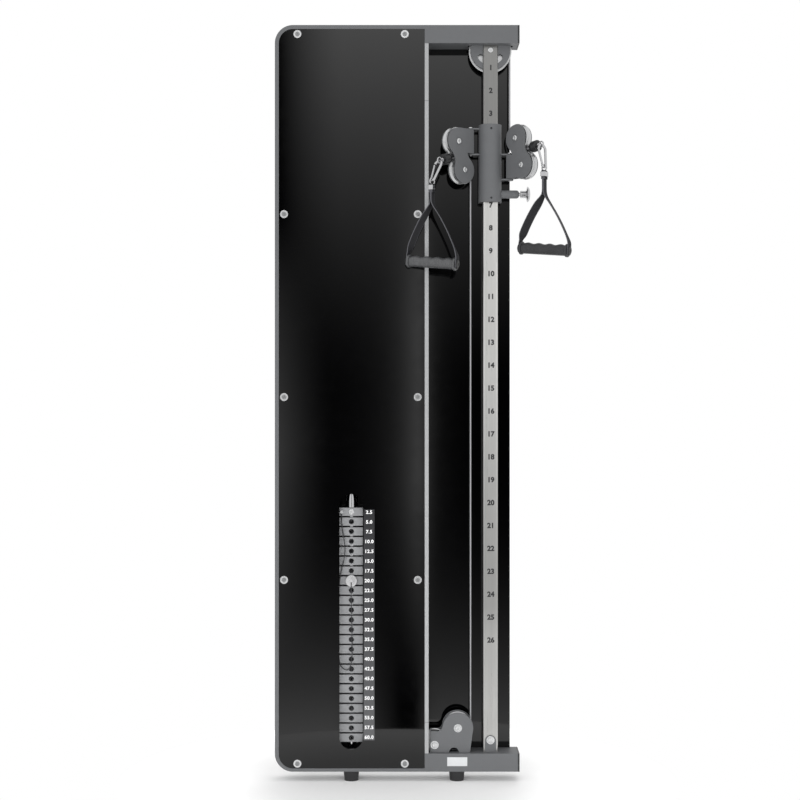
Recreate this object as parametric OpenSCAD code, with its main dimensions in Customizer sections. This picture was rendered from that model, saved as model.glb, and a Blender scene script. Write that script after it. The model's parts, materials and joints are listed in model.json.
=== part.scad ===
// Wall pulley weight stack: a slim steel frame that holds a covered stack of selector plates
// and an adjustable double pulley carriage on a numbered column.
// Millimetres. X runs to the right, Y to the wall, Z up. The origin lies on the floor, under
// the middle of the frame.

/* [Frame] */
// Width of the frame over its end caps
frame_w = 744; // [730:1:780]
// Depth of the frame from its front to the wall
frame_d = 100; // [96:1:120]
// Height of the frame above its feet
frame_h = 2270; // [2250:1:2320]
// Height of the top and base beams
beam_h = 55; // [52:1:60]
// Wall of the beams
beam_wall = 3; // [2:0.5:3.5]
// Outer radius of the two left corners
corner_r = 55; // [50:1:60]
// Width of the frame's edge that shows round the cover
lip_w = 12; // [10:1:14]
// Wall of the side panel and the divider
panel_wall = 2; // [1:0.5:3]
// Distance of the divider's middle from the frame's right side
divider_inset = 282.5; // [280:0.5:285]
// Height above the floor of the lower panel joints
seam_low_z = 180; // [170:1:220]
// Distance of the upper panel joints below the top
seam_high_drop = 230; // [200:1:260]
// Thickness of the end caps' plates
cap_t = 5; // [3:0.5:8]
// Height of the rubber feet
foot_h = 30; // [20:1:40]
// Diameter of a foot at the frame
foot_top_d = 48; // [40:1:54]
// Diameter of a foot on the floor
foot_low_d = 42; // [36:1:48]
// Places of the feet across the frame
foot_x = [-140, 182]; // [-200:1:200]
// Distance of the feet from the frame's middle plane
foot_y = 26; // [20:1:28]
// Distance between the wall bolts across the frame
wall_hole_w = 600; // [560:1:620]
// Diameter of the wall bolts' holes
wall_hole_d = 11; // [9:0.5:13]

/* [Cover] */
// Thickness of the acrylic cover
cover_t = 4; // [3:0.5:5]
// Clearance round the cover
cover_gap = 0.5; // [0.2:0.1:1]
// Width of the selector slot
slot_w = 71; // [60:1:78]
// Lower end of the slot
slot_low_z = 98; // [96:1:110]
// Upper end of the slot
slot_high_z = 874; // [860:1:890]
// Distance of the side screws from the cover's edges
screw_inset = 16; // [12:1:18]
// Heights of the side screws
side_screw_z = [1725, 1169, 613]; // [600:1:1800]
// Places of the screws in the beams, across the frame
beam_screw_x = [-303.4, 23]; // [-310:0.1:40]
// Diameter of the screws' shanks
screw_d = 6; // [5:0.5:8]
// Diameter of the screws' washers
washer_d = 24; // [18:1:26]
// Diameter of the screws' heads
head_d = 13; // [10:0.5:15]
// Width of the flanges that hold the cover's screws
flange_w = 30; // [26:1:34]
// Thickness of the two back panels
back_t = 2; // [1:0.5:3]
// Front face of the bay's back panel, behind the middle plane
bay_back_y = 40; // [38:0.5:44]

/* [Weight stack] */
// Distance of the stack's middle from the divider's edge
stack_inset = 223.5; // [222:0.5:225]
// Clearance between the plates and the frame's left edge
plate_margin = 20; // [17:1:30]
// Depth of a plate
plate_d = 65; // [60:1:70]
// Thickness of a plate
plate_t = 25; // [22:1:26]
// Gap between two plates
plate_gap = 5; // [4:0.5:8]
// Number of plates
plate_count = 24; // [18:1:26]
// Number of plates that the selector pin lifts at rest
lifted_count = 8; // [2:1:16]
// Front face of the plates
plate_front_y = -27; // [-30:0.5:-24]
// Diameter of the guide rods
rod_d = 20; // [16:1:22]
// Distance of the guide rods from the plates' ends
rod_inset = 50; // [46:1:64]
// Place of the guide rods behind the middle plane
rod_y = 23; // [22:0.5:25]
// Clearance round the guide rods, on the diameter
rod_gap = 1.6; // [0.6:0.2:3]
// Outer diameter of a plate's guide collars
collar_d = 28; // [26:1:30]
// Height of the rubber bumpers under the stack
bumper_h = 26; // [20:1:40]
// Diameter of the bumpers
bumper_d = 46; // [36:1:50]
// Diameter of the selector stem
stem_d = 24; // [20:1:28]
// Clearance round the selector stem, on the diameter
stem_gap = 1.4; // [0.6:0.2:3]
// Diameter of the selector pin
pin_d = 10; // [8:0.5:11]
// Clearance round the pin, on the diameter
pin_gap = 0.4; // [0.2:0.1:1]
// Diameter of the pin's knob
pin_knob_d = 36; // [28:1:40]
// Thickness of the pin's knob
pin_knob_t = 12; // [9:0.5:13]
// Diameter of the stem's head above the top plate
stem_head_d = 38; // [32:1:42]
// Height of the stem's head
stem_head_h = 44; // [36:1:52]
// Height of the stack pulley's centre above the top plate
stack_pulley_rise = 129; // [115:1:150]
// Diameter of the lanyard between the stack and the pin
lanyard_d = 3; // [2:0.5:3.5]
// Diameter of the screw that holds the lanyard
lanyard_screw_d = 11; // [8:0.5:13]
// Place of the lanyard's screw left of the middle of the stack
lanyard_screw_x = 30; // [24:1:33]

/* [Cable and pulleys] */
// Diameter of the cable
cable_d = 5; // [4:0.5:5.5]
// Radius of the cable's line on a small pulley
cable_r = 40; // [39.5:0.1:40.5]
// Radius of a small pulley's rim
pulley_r = 43; // [42:0.1:43.4]
// Radius of the cable's line on the top pulley
top_cable_r = 60; // [58:0.5:61]
// Radius of the top pulley's rim
top_pulley_r = 65; // [63:0.5:66]
// Width of a pulley
pulley_w = 20; // [18:0.5:21]
// Diameter of the pulley bolts
axle_d = 10; // [8:0.5:11]
// Outer diameter of the pulley bearings
bearing_d = 26; // [22:1:28]
// Running clearance of a bearing or a hinge pin, on the diameter
run_gap = 0.12; // [0.04:0.02:0.2]
// Height of the base pulley beside the column
base_upper_z = 159; // [158:1:164]
// Distance of the lower base pulley from the column
base_lower_reach = 171; // [170.5:0.5:174]
// Height of the lower base pulley
base_lower_z = 108; // [103:1:109]
// Drop of the top pulley's centre below the top of the frame
top_pulley_drop = 70; // [69:0.5:72]
// Drop of the cross pulleys' centres below the top of the frame
cross_pulley_drop = 110; // [108:1:116]
// Distance of the left cross pulley from the middle of the stack
cross_left_reach = 80; // [78:1:82]
// Distance of the right cross pulley from the middle of the stack
cross_right_reach = 174; // [172:1:176]
// Thickness of the pulley brackets' plates
bracket_t = 4; // [3:0.5:5]
// Radius of the top bracket's round plate
top_bracket_r = 61; // [56:0.5:64]
// Outer face of the top bracket's plates, inside the column, from the middle plane
top_bracket_y = 18; // [17:0.5:18]
// Distance of the base bracket's front plate from the middle plane
bracket_y = 30; // [28:0.5:34]
// Radius of the hollow between the base bracket's round and its shoulder
bracket_hollow_r = 18; // [12:1:24]
// Diameter of the bright bolt heads
bolt_head_d = 19; // [16:0.5:22]

/* [Column] */
// Distance of the column from the frame's right side
column_inset = 87; // [86:0.5:88]
// Width of the square column
column_w = 45; // [44:0.5:46]
// Wall of the column
column_wall = 3; // [2:0.5:4]
// Outer corner radius of the column
column_corner_r = 4; // [3:0.5:6]
// Distance of the uppermost index hole below the top of the frame
first_hole_drop = 369; // [360:1:376]
// Distance between two index holes
hole_pitch = 70; // [65:0.5:70]
// Number of index holes
hole_count = 26; // [20:1:26]
// Diameter of the index holes
index_hole_d = 12; // [11:0.5:14]
// Index hole that the carriage stands at
rest_hole = 3; // [2:1:4]

/* [Carriage] */
// Outer diameter of the sleeve
sleeve_d = 70; // [69:0.5:72]
// Inner diameter of the sleeve
sleeve_bore_d = 64; // [63:0.5:65]
// Height of the sleeve
sleeve_h = 238; // [230:1:245]
// Distance from the sleeve's lower end to the plunger
plunger_rise = 26; // [24:1:30]
// Height of a bushing inside the sleeve
bushing_h = 40; // [30:1:60]
// Sliding clearance between a bushing and the column, on the width
slide_gap = 0.6; // [0.4:0.1:1]
// Thickness of the side plates behind the sleeve
side_plate_t = 3; // [2:0.5:4]
// Depth of the side plates
side_plate_d = 32; // [26:1:34]
// Thickness of the arms
arm_t = 4.5; // [3.5:0.5:6]
// Width of the arms
arm_w = 22; // [20:0.5:24]
// Distance of the upper arm below the sleeve's top
top_arm_drop = 12; // [6:0.5:14]
// Heights of the two lower arms above the plunger
lower_arm_rise = [121.5, 44.5]; // [44:0.5:122]
// Distance of the two swivel axes from the column's middle
swivel_reach = 60; // [59.5:0.1:60.5]
// Diameter of the swivels' hinge pins
hinge_d = 10; // [8:0.5:11]
// Diameter of the plunger's barrel
barrel_d = 25; // [24:0.5:28]
// Length of the barrel beyond the sleeve
barrel_l = 54; // [48:1:60]
// Diameter of the plunger's pin
plunger_d = 11.4; // [10:0.1:11.6]
// Stroke of the plunger
plunger_stroke = 8; // [6:0.5:8.5]
// Diameter of the plunger knob's neck
knob_neck_d = 23; // [22:0.5:26]
// Diameter of the plunger's mushroom knob
knob_d = 48; // [40:1:52]

/* [Swivels] */
// Turn of the left swivel towards the front at rest
left_yaw = 42; // [40:1:46]
// Turn of the right swivel towards the front at rest
right_yaw = 49; // [45:1:53]
// Height of the left swivel's cable pulley above the plunger
left_near_rise = 71; // [70:1:72]
// Height of the right swivel's cable pulley above the plunger
right_near_rise = 167; // [166:1:168]
// Distance of a swivel's second pulley beyond the first
second_out = 26; // [25:1:28]
// Height between a swivel's two pulleys
second_rise = 84; // [83.5:0.5:86]
// Radius of the side plates' round ends
lobe_r = 41; // [39:0.5:42]
// Radius of the side plates' waist
waist_r = 40; // [34:1:60]
// Thickness of the side plates
side_t = 3.5; // [3:0.5:5]
// Clearance beside the pulleys in a swivel
side_gap = 1.5; // [1:0.1:2]
// Downward slope of the left cable where it leaves
left_exit = -12; // [-14:1:-8]
// Upward slope of the right cable where it leaves
right_exit = 7; // [4:1:8]

/* [Handles] */
// Distance of the left stopper beyond its pulley
left_stopper_out = 38; // [37:0.5:44]
// Distance of the right stopper beyond its pulley
right_stopper_out = 45; // [44:0.5:50]
// Diameter of the stoppers
stopper_d = 34; // [28:1:36]
// Diameter of a stopper's nose
nose_d = 20; // [16:1:21]
// Length of the stoppers
stopper_l = 33; // [28:1:40]
// Distance of the eye's centre beyond the stopper
eye_out = 13; // [12:0.5:16]
// Radius of the eye ring
eye_r = 8.5; // [8:0.1:9]
// Diameter of the rings' wire
ring_wire_d = 4.6; // [4:0.1:5]
// Diameter of the carabiners' wire
hook_d = 8; // [7:0.5:8.5]
// Height of a carabiner between its wire's middles
hook_h = 69; // [64:1:80]
// Radius of a carabiner's wide end
hook_wide_r = 14; // [13:0.5:16]
// Radius of a carabiner's narrow end
hook_narrow_r = 7.5; // [7:0.5:9]
// Outward lean of the left carabiner
left_lean = 26; // [20:1:30]
// Outward lean of the right carabiner
right_lean = 10; // [6:1:20]
// Distance from the carabiner to the middle of the grip
grip_drop = 247; // [230:1:260]
// Length of a grip
grip_l = 158; // [145:1:165]
// Diameter of a grip
grip_d = 34; // [30:1:37]
// Diameter of a grip's end flanges
grip_flange_d = 40; // [38:1:41]
// Turn of the left grip, its right end towards the front
left_grip_yaw = 25; // [22:1:30]
// Turn of the right grip, its right end towards the front
right_grip_yaw = 30; // [20:1:35]
// Slope of the grips
grip_tilt = 5.5; // [0:0.5:8]
// Width of the strap
strap_w = 25; // [22:1:28]
// Thickness of the strap
strap_t = 3; // [2:0.5:4]
// Distance from the carabiner to the place where the strap parts
strap_part = 86; // [70:1:100]

/* [Hidden] */
$fn = 72;
front_y = -frame_d / 2;
back_y = frame_d / 2;
left_x = -frame_w / 2;
right_x = frame_w / 2;
base_z = foot_h;
base_top_z = base_z + beam_h;
top_z = base_z + frame_h;
first_hole_z = top_z - first_hole_drop;
beam_low_z = top_z - beam_h;
seam_high_z = top_z - seam_high_drop;
beam_right_x = right_x - cap_t;
divider_x = right_x - divider_inset;
divider_l = divider_x - lip_w / 2;
divider_r = divider_x + lip_w / 2;
inner_l = left_x + lip_w;

// The cover lies in a recess whose floor is a seat for it
cover_back_y = front_y + cover_t;
cover_low_z = base_z + lip_w - 2;
cover_high_z = top_z - lip_w;
cover_corner_r = corner_r - lip_w;
flange_t = 3;
beam_front_y = cover_back_y + beam_wall;
side_screw_x = [inner_l + screw_inset, divider_l - screw_inset - 5];
screw_low_z = base_z + beam_h / 2 - 3;
screw_high_z = top_z - beam_h / 2;
screw_l = 16;
washer_t = 1.6;
head_t = 3.4;

// Plates are counted from the bottom, from 0
stack_x = divider_l - stack_inset;
plate_w = 2 * (min(stack_x - inner_l, divider_l - stack_x) - plate_margin);
rod_reach = plate_w / 2 - rod_inset;
pitch = plate_t + plate_gap;
seat_gap = 0.3;
collar_h = plate_gap - seat_gap;
stack_low_z = base_top_z + bumper_h + plate_gap;
stack_high_z = stack_low_z + plate_count * pitch - plate_gap;
parked_count = plate_count - lifted_count;
rod_hole_d = rod_d + rod_gap;
stem_hole_d = stem_d + stem_gap;
pin_hole_d = pin_d + pin_gap;
stem_low_z = base_top_z + 10;
pin_z = plate_low(parked_count) + plate_t / 2;
pin_tip_y = sqrt(pow(stem_d / 2, 2) - pow(pin_d / 2, 2)) - seat_gap;
pin_knob_y = plate_front_y - 1;
boss_d = 7;
boss_t = 3.4;
top_hole_z = plate_low(plate_count - 1) + plate_t / 2;

// Pulleys' centres, as places across the frame and heights
column_x = right_x - column_inset;
run_left_x = column_x - swivel_reach;
run_right_x = column_x + swivel_reach;
base_upper = [run_left_x - cable_r, base_upper_z];
base_lower = [column_x - base_lower_reach, base_lower_z];
cross_right = [stack_x + cross_right_reach, top_z - cross_pulley_drop];
cross_left = [stack_x + cross_left_reach, top_z - cross_pulley_drop];
top_pulley_at = [run_right_x - top_cable_r, top_z - top_pulley_drop];
cable_top_z = top_pulley_at[1] + top_cable_r;
lift_pulley_at = [stack_x, cable_top_z - cable_r];
stack_pulley_at = [stack_x, stack_high_z + stack_pulley_rise];
fork_in = pulley_w / 2 + side_gap;
wire_lap = 0.5;
wire_step = 0.1;

// The cable's common tangent under the two base pulleys
base_span = base_upper - base_lower;
tangent_a = atan2(base_span[1], base_span[0]) - 90;

// Carriage heights
index_z = first_hole_z - (rest_hole - 1) * hole_pitch;
sleeve_low_z = index_z - plunger_rise;
sleeve_high_z = sleeve_low_z + sleeve_h;
arm_z = [sleeve_high_z - top_arm_drop, for (rise = lower_arm_rise) index_z + rise];
left_axis = [run_left_x, 0, 0];
right_axis = [run_right_x, 0, 0];
left_turn = 180 + left_yaw;
right_turn = -right_yaw;
hinge_gap = 0.3;

// A swivel's pulleys in its own plane: distance from the hinge axis, and height
left_near = [cable_r, index_z + left_near_rise];
left_far = left_near + [second_out, second_rise];
right_near = [cable_r, index_z + right_near_rise];
right_far = right_near + [second_out, -second_rise];
knuckle_d = arm_w;
left_knuckle = [arm_z[1] + arm_t / 2 + hinge_gap, arm_z[0] - arm_t / 2 - hinge_gap];
right_knuckle = [arm_z[2] + arm_t / 2 + hinge_gap, arm_z[1] - arm_t / 2 - hinge_gap];

// Where the cable leaves a swivel's pulley, and the line it follows
function leave(near, slope, side) = near + side * cable_r * [-sin(slope), cos(slope)];
function along(slope, s) = s * [cos(slope), sin(slope)];
left_leave = leave(left_near, left_exit, 1);
right_leave = leave(right_near, right_exit, -1);
left_stopper = left_leave + along(left_exit, left_stopper_out);
right_stopper = right_leave + along(right_exit, right_stopper_out);
left_eye = left_stopper + along(left_exit, stopper_l + eye_out);
right_eye = right_stopper + along(right_exit, stopper_l + eye_out);
ring_r = 9;
hook_hang = eye_r - ring_wire_d / 2 - hook_d / 2 - seat_gap;
ring_hang = ring_r - ring_wire_d / 2 - hook_d / 2 - seat_gap;
left_ring = left_eye + (hook_hang + hook_h) * [sin(left_lean), -cos(left_lean)];
right_ring = right_eye + (hook_hang + hook_h) * [sin(right_lean), -cos(right_lean)];
grip_bore_d = 21;
core_d = grip_bore_d - 1;
end_gap = 0.5;

// The lanyard's route, chosen by hand: across the frame, depth and height
lanyard_route = [
    [-170, -30, 812.7], [-170, -31, 794], [-167, -36, 764], [-162, -38, 735], [-159, -38, 705],
    [-162, -37, 675], [-169, -36, 645], [-175, -36, 612], [-178, -36, 575], [-179, -36, 535],
    [-179, -36, 490], [-179, -36, 445], [-179, -36, 400], [-177.5, -36, 372], [-173, -36, 352],
    [-164, -36, 341], [-154, -36, 337], [-145.5, -36, 342], [-140.5, -36, 355], [-138.5, -36, 376],
    [-137.5, -36, 400], [-138, -36, 450],
    [-139, -37, 505], [-140, -40, 550], [-140, -42, 580], [-140, -42, 604.7]
];
lanyard_steps = 3;
lanyard_sides = 8;

function plate_low(i) = stack_low_z + i * pitch;

powder_grey = [0.42, 0.44, 0.46];
gloss_black = [0.05, 0.05, 0.06];
satin_steel = [0.68, 0.69, 0.70];
bright_metal = [0.85, 0.86, 0.88];
rubber_black = [0.12, 0.12, 0.13];
cord_black = [0.08, 0.08, 0.09];
plate_grey = [0.66, 0.67, 0.69];

// A box between two corners
module block(low, high) {
    translate(low) cube(high - low);
}

// A flat shape drawn across the frame and up, made solid between two depths
module slab(y0, y1) {
    translate([0, y1, 0]) rotate([90, 0, 0]) linear_extrude(y1 - y0) children();
}

// A round bar along the depth
module rod_y(at, d, y0, y1) {
    translate([at[0], y1, at[1]]) rotate([90, 0, 0]) cylinder(d = d, h = y1 - y0);
}

// A straight run of wire in the plane of the pulleys, which laps the bends at its ends
module run(from, to, d, lap0 = wire_lap, lap1 = wire_lap) {
    ahead = unit(to - from);
    span = to - from + ahead * (lap0 + lap1);
    start = from - ahead * lap0;
    translate([start[0], 0, start[1]]) rotate([0, atan2(span[0], span[1]), 0])
        cylinder(d = d, h = norm(span), $fn = 24);
}

// A bent run of wire round a centre, from one angle to another, anticlockwise. It is a hair
// thinner than the straight runs that hold its ends
module bend(at, r, a0, a1, d) {
    translate([at[0], 0, at[1]]) rotate([90, 0, 0]) rotate([0, 0, a0])
        rotate_extrude(angle = a1 - a0, $fn = 96) translate([r, 0])
            circle(d = d - wire_step, $fn = 24);
}

// A grooved pulley on an axis along the depth
module pulley(at, rim_r, line_r, bore_d) {
    land = 2.4;
    half = pulley_w / 2;
    floor_r = line_r - cable_d / 2 - 0.3;
    floor_half = cable_d / 2 + 0.6;
    hub_r = bore_d / 2 + 3.5;
    web_r = floor_r - 4;
    web_half = half - 4;
    color(bright_metal) translate([at[0], 0, at[1]]) rotate([90, 0, 0]) rotate_extrude()
        polygon([
            [bore_d / 2, -half], [hub_r, -half], [hub_r + 1, -web_half], [web_r - 1, -web_half],
            [web_r, -half], [rim_r, -half], [rim_r, -half + land], [floor_r, -floor_half],
            [floor_r, floor_half], [rim_r, half - land], [rim_r, half], [web_r, half],
            [web_r - 1, web_half], [hub_r + 1, web_half], [hub_r, half], [bore_d / 2, half]
        ]);
}

module bearing(at) {
    rod_ring(at, bearing_d - run_gap, axle_d + run_gap, -pulley_w / 2, pulley_w / 2);
}

// A tube along the depth
module rod_ring(at, outer_d, inner_d, y0, y1) {
    difference() {
        rod_y(at, outer_d, y0, y1);
        rod_y(at, inner_d, y0 - 1, y1 + 1);
    }
}

// A bolt along the depth with a hexagon head at each end
module bolt(at, y0, y1) {
    rod_y(at, axle_d, y0, y1);
    for (end = [[y0 - 6, y0], [y1, y1 + 6]]) {
        rod_y(at, bolt_head_d, end[0], end[1]);
    }
}

// Corner of the frame as it is cut from a square one: g is the inset from the outer surface
module left_corner_cut(low, g) {
    size = corner_r;
    z0 = low ? base_z : top_z - size;
    z1 = low ? base_z + size : top_z - size;
    difference() {
        translate([left_x - 1, low ? z0 - 1 : z0]) square([size + 1, size + 1]);
        translate([left_x + size, z1]) circle(r = size - g);
    }
}

module top_outline(g) {
    difference() {
        union() {
            translate([left_x + g, beam_low_z + g])
                square([beam_right_x - left_x - g + (g > 0 ? 1 : 0), beam_h - 2 * g]);
            translate([left_x + g, seam_high_z - (g > 0 ? 1 : 0)])
                square([lip_w - 2 * g, top_z - seam_high_z - beam_h / 2]);
            translate([divider_l + g, seam_high_z - (g > 0 ? 1 : 0)])
                square([lip_w - 2 * g, beam_low_z - seam_high_z + beam_wall + 1]);
        }
        left_corner_cut(false, g);
    }
}

module base_outline(g) {
    difference() {
        union() {
            translate([left_x + g, base_z + g])
                square([beam_right_x - left_x - g + (g > 0 ? 1 : 0), beam_h - 2 * g]);
            translate([left_x + g, base_z + beam_h / 2])
                square([lip_w - 2 * g, seam_low_z - base_z - beam_h / 2 + (g > 0 ? 1 : 0)]);
            translate([divider_l + g, base_top_z - beam_wall - 1])
                square([lip_w - 2 * g, seam_low_z - base_top_z + beam_wall + 1 + (g > 0 ? 1 : 0)]);
        }
        left_corner_cut(true, g);
    }
}

// The cover's outline, grown by g
module cover_outline(g) {
    low = cover_low_z - g;
    high = cover_high_z + g;
    l = inner_l - g;
    r = divider_l + g;
    size = cover_corner_r + g;
    difference() {
        translate([l, low]) square([r - l, high - low]);
        difference() {
            union() {
                translate([l - 1, low - 1]) square([size + 1, size + 1]);
                translate([l - 1, high - size]) square([size + 1, size + 1]);
            }
            translate([l + size, low + size]) circle(r = size);
            translate([l + size, high - size]) circle(r = size);
        }
    }
}

module cover_holes(d) {
    for (z = side_screw_z, x = side_screw_x) {
        translate([x, z]) circle(d = d, $fn = 32);
    }
    for (x = beam_screw_x, z = [screw_low_z, screw_high_z]) {
        translate([x, z]) circle(d = d, $fn = 32);
    }
}

module wall_holes() {
    for (x = [-wall_hole_w / 2, wall_hole_w / 2], z = [screw_low_z, screw_high_z]) {
        rod_y([x, z], wall_hole_d, back_y - beam_wall - 1, back_y + 1);
    }
}

module top_frame() {
    color(powder_grey) difference() {
        slab(front_y, back_y) top_outline(0);
        slab(beam_front_y, back_y - beam_wall) top_outline(beam_wall);
        slab(front_y - 1, cover_back_y) cover_outline(0);
        slab(cover_back_y - 1, beam_front_y + 1) cover_holes(screw_d);
        wall_holes();
        block([lift_pulley_at[0] - pulley_r - 3, -fork_in - bracket_t - 2, beam_low_z - 1],
            [lift_pulley_at[0] + pulley_r + 3, fork_in + bracket_t + 2, beam_low_z + beam_wall + 1]);
        block([top_pulley_at[0] - top_pulley_r - 4, -fork_in - 1, beam_low_z - 1],
            [top_pulley_at[0] + top_pulley_r + 4, fork_in + 1, beam_low_z + beam_wall + 1]);
    }
}

module base_frame() {
    tongue_w = 34;
    tongue_high_z = base_top_z + 50;
    color(powder_grey) difference() {
        union() {
            difference() {
                slab(front_y, back_y) base_outline(0);
                slab(beam_front_y, back_y - beam_wall) base_outline(beam_wall);
                slab(front_y - 1, cover_back_y) cover_outline(0);
                slab(cover_back_y - 1, beam_front_y + 1) cover_holes(screw_d);
                wall_holes();
                block([base_lower[0] - pulley_r - 4, -fork_in - 1, base_top_z - beam_wall - 1],
                    [base_upper[0], fork_in + 1, base_top_z + 1]);
                block([divider_l - 1, -fork_in - 1, base_top_z - 1],
                    [divider_r + 1, fork_in + 1, base_lower[1] + pulley_r + 4]);
            }
            slab(-column_w / 2 - bracket_t, -column_w / 2) {
                translate([column_x - tongue_w / 2, base_top_z])
                    square([tongue_w, tongue_high_z - base_top_z - tongue_w / 2]);
                translate([column_x, tongue_high_z - tongue_w / 2]) circle(d = tongue_w);
            }
        }
        rod_y(column_bolt_at(), axle_d + 1, front_y + 1, 0);
    }
}

function column_bolt_at() = [column_x, base_top_z + 36];

// A hollow upright with a flange behind the cover's edge
module upright(x0, x1, flange_x0, flange_x1) {
    color(powder_grey) difference() {
        union() {
            difference() {
                block([x0, front_y, seam_low_z], [x1, back_y, seam_high_z]);
                block([x0 + panel_wall, front_y + panel_wall, seam_low_z - 1],
                    [x1 - panel_wall, back_y - panel_wall, seam_high_z + 1]);
            }
            block([flange_x0, cover_back_y, seam_low_z],
                [flange_x1, cover_back_y + flange_t, seam_high_z]);
        }
        slab(cover_back_y - 1, cover_back_y + flange_t + 1) cover_holes(screw_d);
    }
}

module left_side_panel() {
    upright(left_x, inner_l, inner_l - panel_wall / 2, inner_l + flange_w);
}

module divider_panel() {
    upright(divider_l, divider_r, divider_l - flange_w - 3, divider_l + panel_wall / 2);
}

module cover_panel() {
    color(gloss_black) slab(front_y, cover_back_y) difference() {
        cover_outline(-cover_gap);
        cover_holes(screw_d + 0.6);
        translate([stack_x - slot_w / 2, slot_low_z + slot_w / 2])
            square([slot_w, slot_high_z - slot_low_z - slot_w]);
        for (z = [slot_low_z + slot_w / 2, slot_high_z - slot_w / 2]) {
            translate([stack_x, z]) circle(d = slot_w);
        }
    }
}

module cover_screw(at) {
    rod_y(at, screw_d - 0.1, front_y - washer_t, front_y + screw_l);
    rod_y(at, washer_d, front_y - washer_t, front_y);
    difference() {
        rod_y(at, head_d, front_y - washer_t - head_t, front_y - washer_t);
        translate([at[0], front_y - washer_t - head_t + 2, at[1]]) rotate([90, 0, 0])
            cylinder(d = 5.8, h = 3, $fn = 6);
    }
}

module cover_screws() {
    color(bright_metal) {
        for (z = side_screw_z, x = side_screw_x) {
            cover_screw([x, z]);
        }
        for (x = beam_screw_x, z = [screw_low_z, screw_high_z]) {
            cover_screw([x, z]);
        }
    }
}

module cabinet_back_panel() {
    color(gloss_black)
        block([inner_l, back_y - back_t - 1, base_top_z], [divider_l, back_y - 1, beam_low_z]);
}

module bay_back_panel() {
    edge_x = right_x - 24;
    color(gloss_black) {
        block([divider_r, bay_back_y, base_top_z], [edge_x, bay_back_y + back_t, beam_low_z]);
        block([edge_x - back_t, bay_back_y, base_top_z], [edge_x, back_y, beam_low_z]);
    }
}

module beam_end_caps() {
    plug = 15;
    color(rubber_black) for (z = [base_z, beam_low_z]) {
        block([beam_right_x, front_y, z], [right_x, back_y, z + beam_h]);
        block([beam_right_x - plug, beam_front_y + seat_gap, z + beam_wall + seat_gap],
            [beam_right_x + 1, back_y - beam_wall - seat_gap, z + beam_h - beam_wall - seat_gap]);
    }
}

module rubber_feet() {
    color(rubber_black) for (x = foot_x, y = [-foot_y, foot_y]) {
        translate([x, y, 0]) cylinder(d1 = foot_low_d, d2 = foot_top_d, h = foot_h);
    }
}

module guide_rods() {
    color(bright_metal) for (side = [-1, 1]) {
        translate([stack_x + side * rod_reach, rod_y, base_top_z])
            cylinder(d = rod_d, h = beam_low_z - base_top_z);
    }
}

module stack_bumpers() {
    color(rubber_black) for (side = [-1, 1]) {
        translate([stack_x + side * rod_reach, rod_y, base_top_z]) difference() {
            cylinder(d = bumper_d, h = bumper_h);
            translate([0, 0, -1]) cylinder(d = rod_d + 0.3, h = bumper_h + 2);
        }
    }
}

// One plate with its guide collars, whose holes line up with the rods, the stem and the pin
module plate(z) {
    difference() {
        union() {
            block([stack_x - plate_w / 2, plate_front_y, z],
                [stack_x + plate_w / 2, plate_front_y + plate_d, z + plate_t]);
            for (side = [-1, 1]) {
                translate([stack_x + side * rod_reach, rod_y, z - collar_h])
                    cylinder(d = collar_d, h = collar_h + 1);
            }
        }
        for (side = [-1, 1]) {
            translate([stack_x + side * rod_reach, rod_y, z - collar_h - 1])
                cylinder(d = rod_hole_d, h = plate_t + collar_h + 2);
        }
        translate([stack_x, 0, z - 1]) cylinder(d = stem_hole_d, h = plate_t + 2);
        rod_y([stack_x, z + plate_t / 2], pin_hole_d, plate_front_y - 1, 0);
    }
}

module parked_plates() {
    color(plate_grey) for (i = [0 : parked_count - 1]) {
        plate(plate_low(i));
    }
}

module lifted_plates() {
    color(plate_grey) for (i = [parked_count : plate_count - 1]) {
        plate(plate_low(i));
    }
    color(bright_metal) rod_y([stack_x - lanyard_screw_x, top_hole_z], lanyard_screw_d,
        plate_front_y - 5, plate_front_y);
}

module selector_stem() {
    fork_w = 40;
    fork_low_z = stack_high_z + stem_head_h;
    pulley_z = stack_pulley_at[1];
    color(bright_metal) {
        difference() {
            union() {
                translate([stack_x, 0, stem_low_z])
                    cylinder(d = stem_d, h = stack_high_z + 1 - stem_low_z);
                translate([stack_x, 0, stack_high_z + seat_gap])
                    cylinder(d = stem_head_d, h = stem_head_h);
                block([stack_x - fork_w / 2, -fork_in - bracket_t, fork_low_z],
                    [stack_x + fork_w / 2, fork_in + bracket_t, fork_low_z + 8]);
                for (side = [-1, 1]) {
                    block([stack_x - fork_w / 2, side > 0 ? fork_in : -fork_in - bracket_t, fork_low_z],
                        [stack_x + fork_w / 2, side > 0 ? fork_in + bracket_t : -fork_in,
                            pulley_z + 18]);
                }
            }
            for (i = [0 : plate_count - 1]) {
                rod_y([stack_x, plate_low(i) + plate_t / 2], pin_hole_d, -stem_d, stem_d);
            }
            rod_y(stack_pulley_at, axle_d + run_gap, -30, 30);
        }
        rod_y(stack_pulley_at, axle_d, -fork_in - bracket_t - 1, fork_in + bracket_t + 1);
    }
}

module rounded_square(w, r) {
    side = w - 2 * r;
    square([w, side], center = true);
    square([side, w], center = true);
    for (x = [-side / 2, side / 2], y = [-side / 2, side / 2]) {
        translate([x, y]) circle(r = r, $fn = 32);
    }
}

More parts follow.
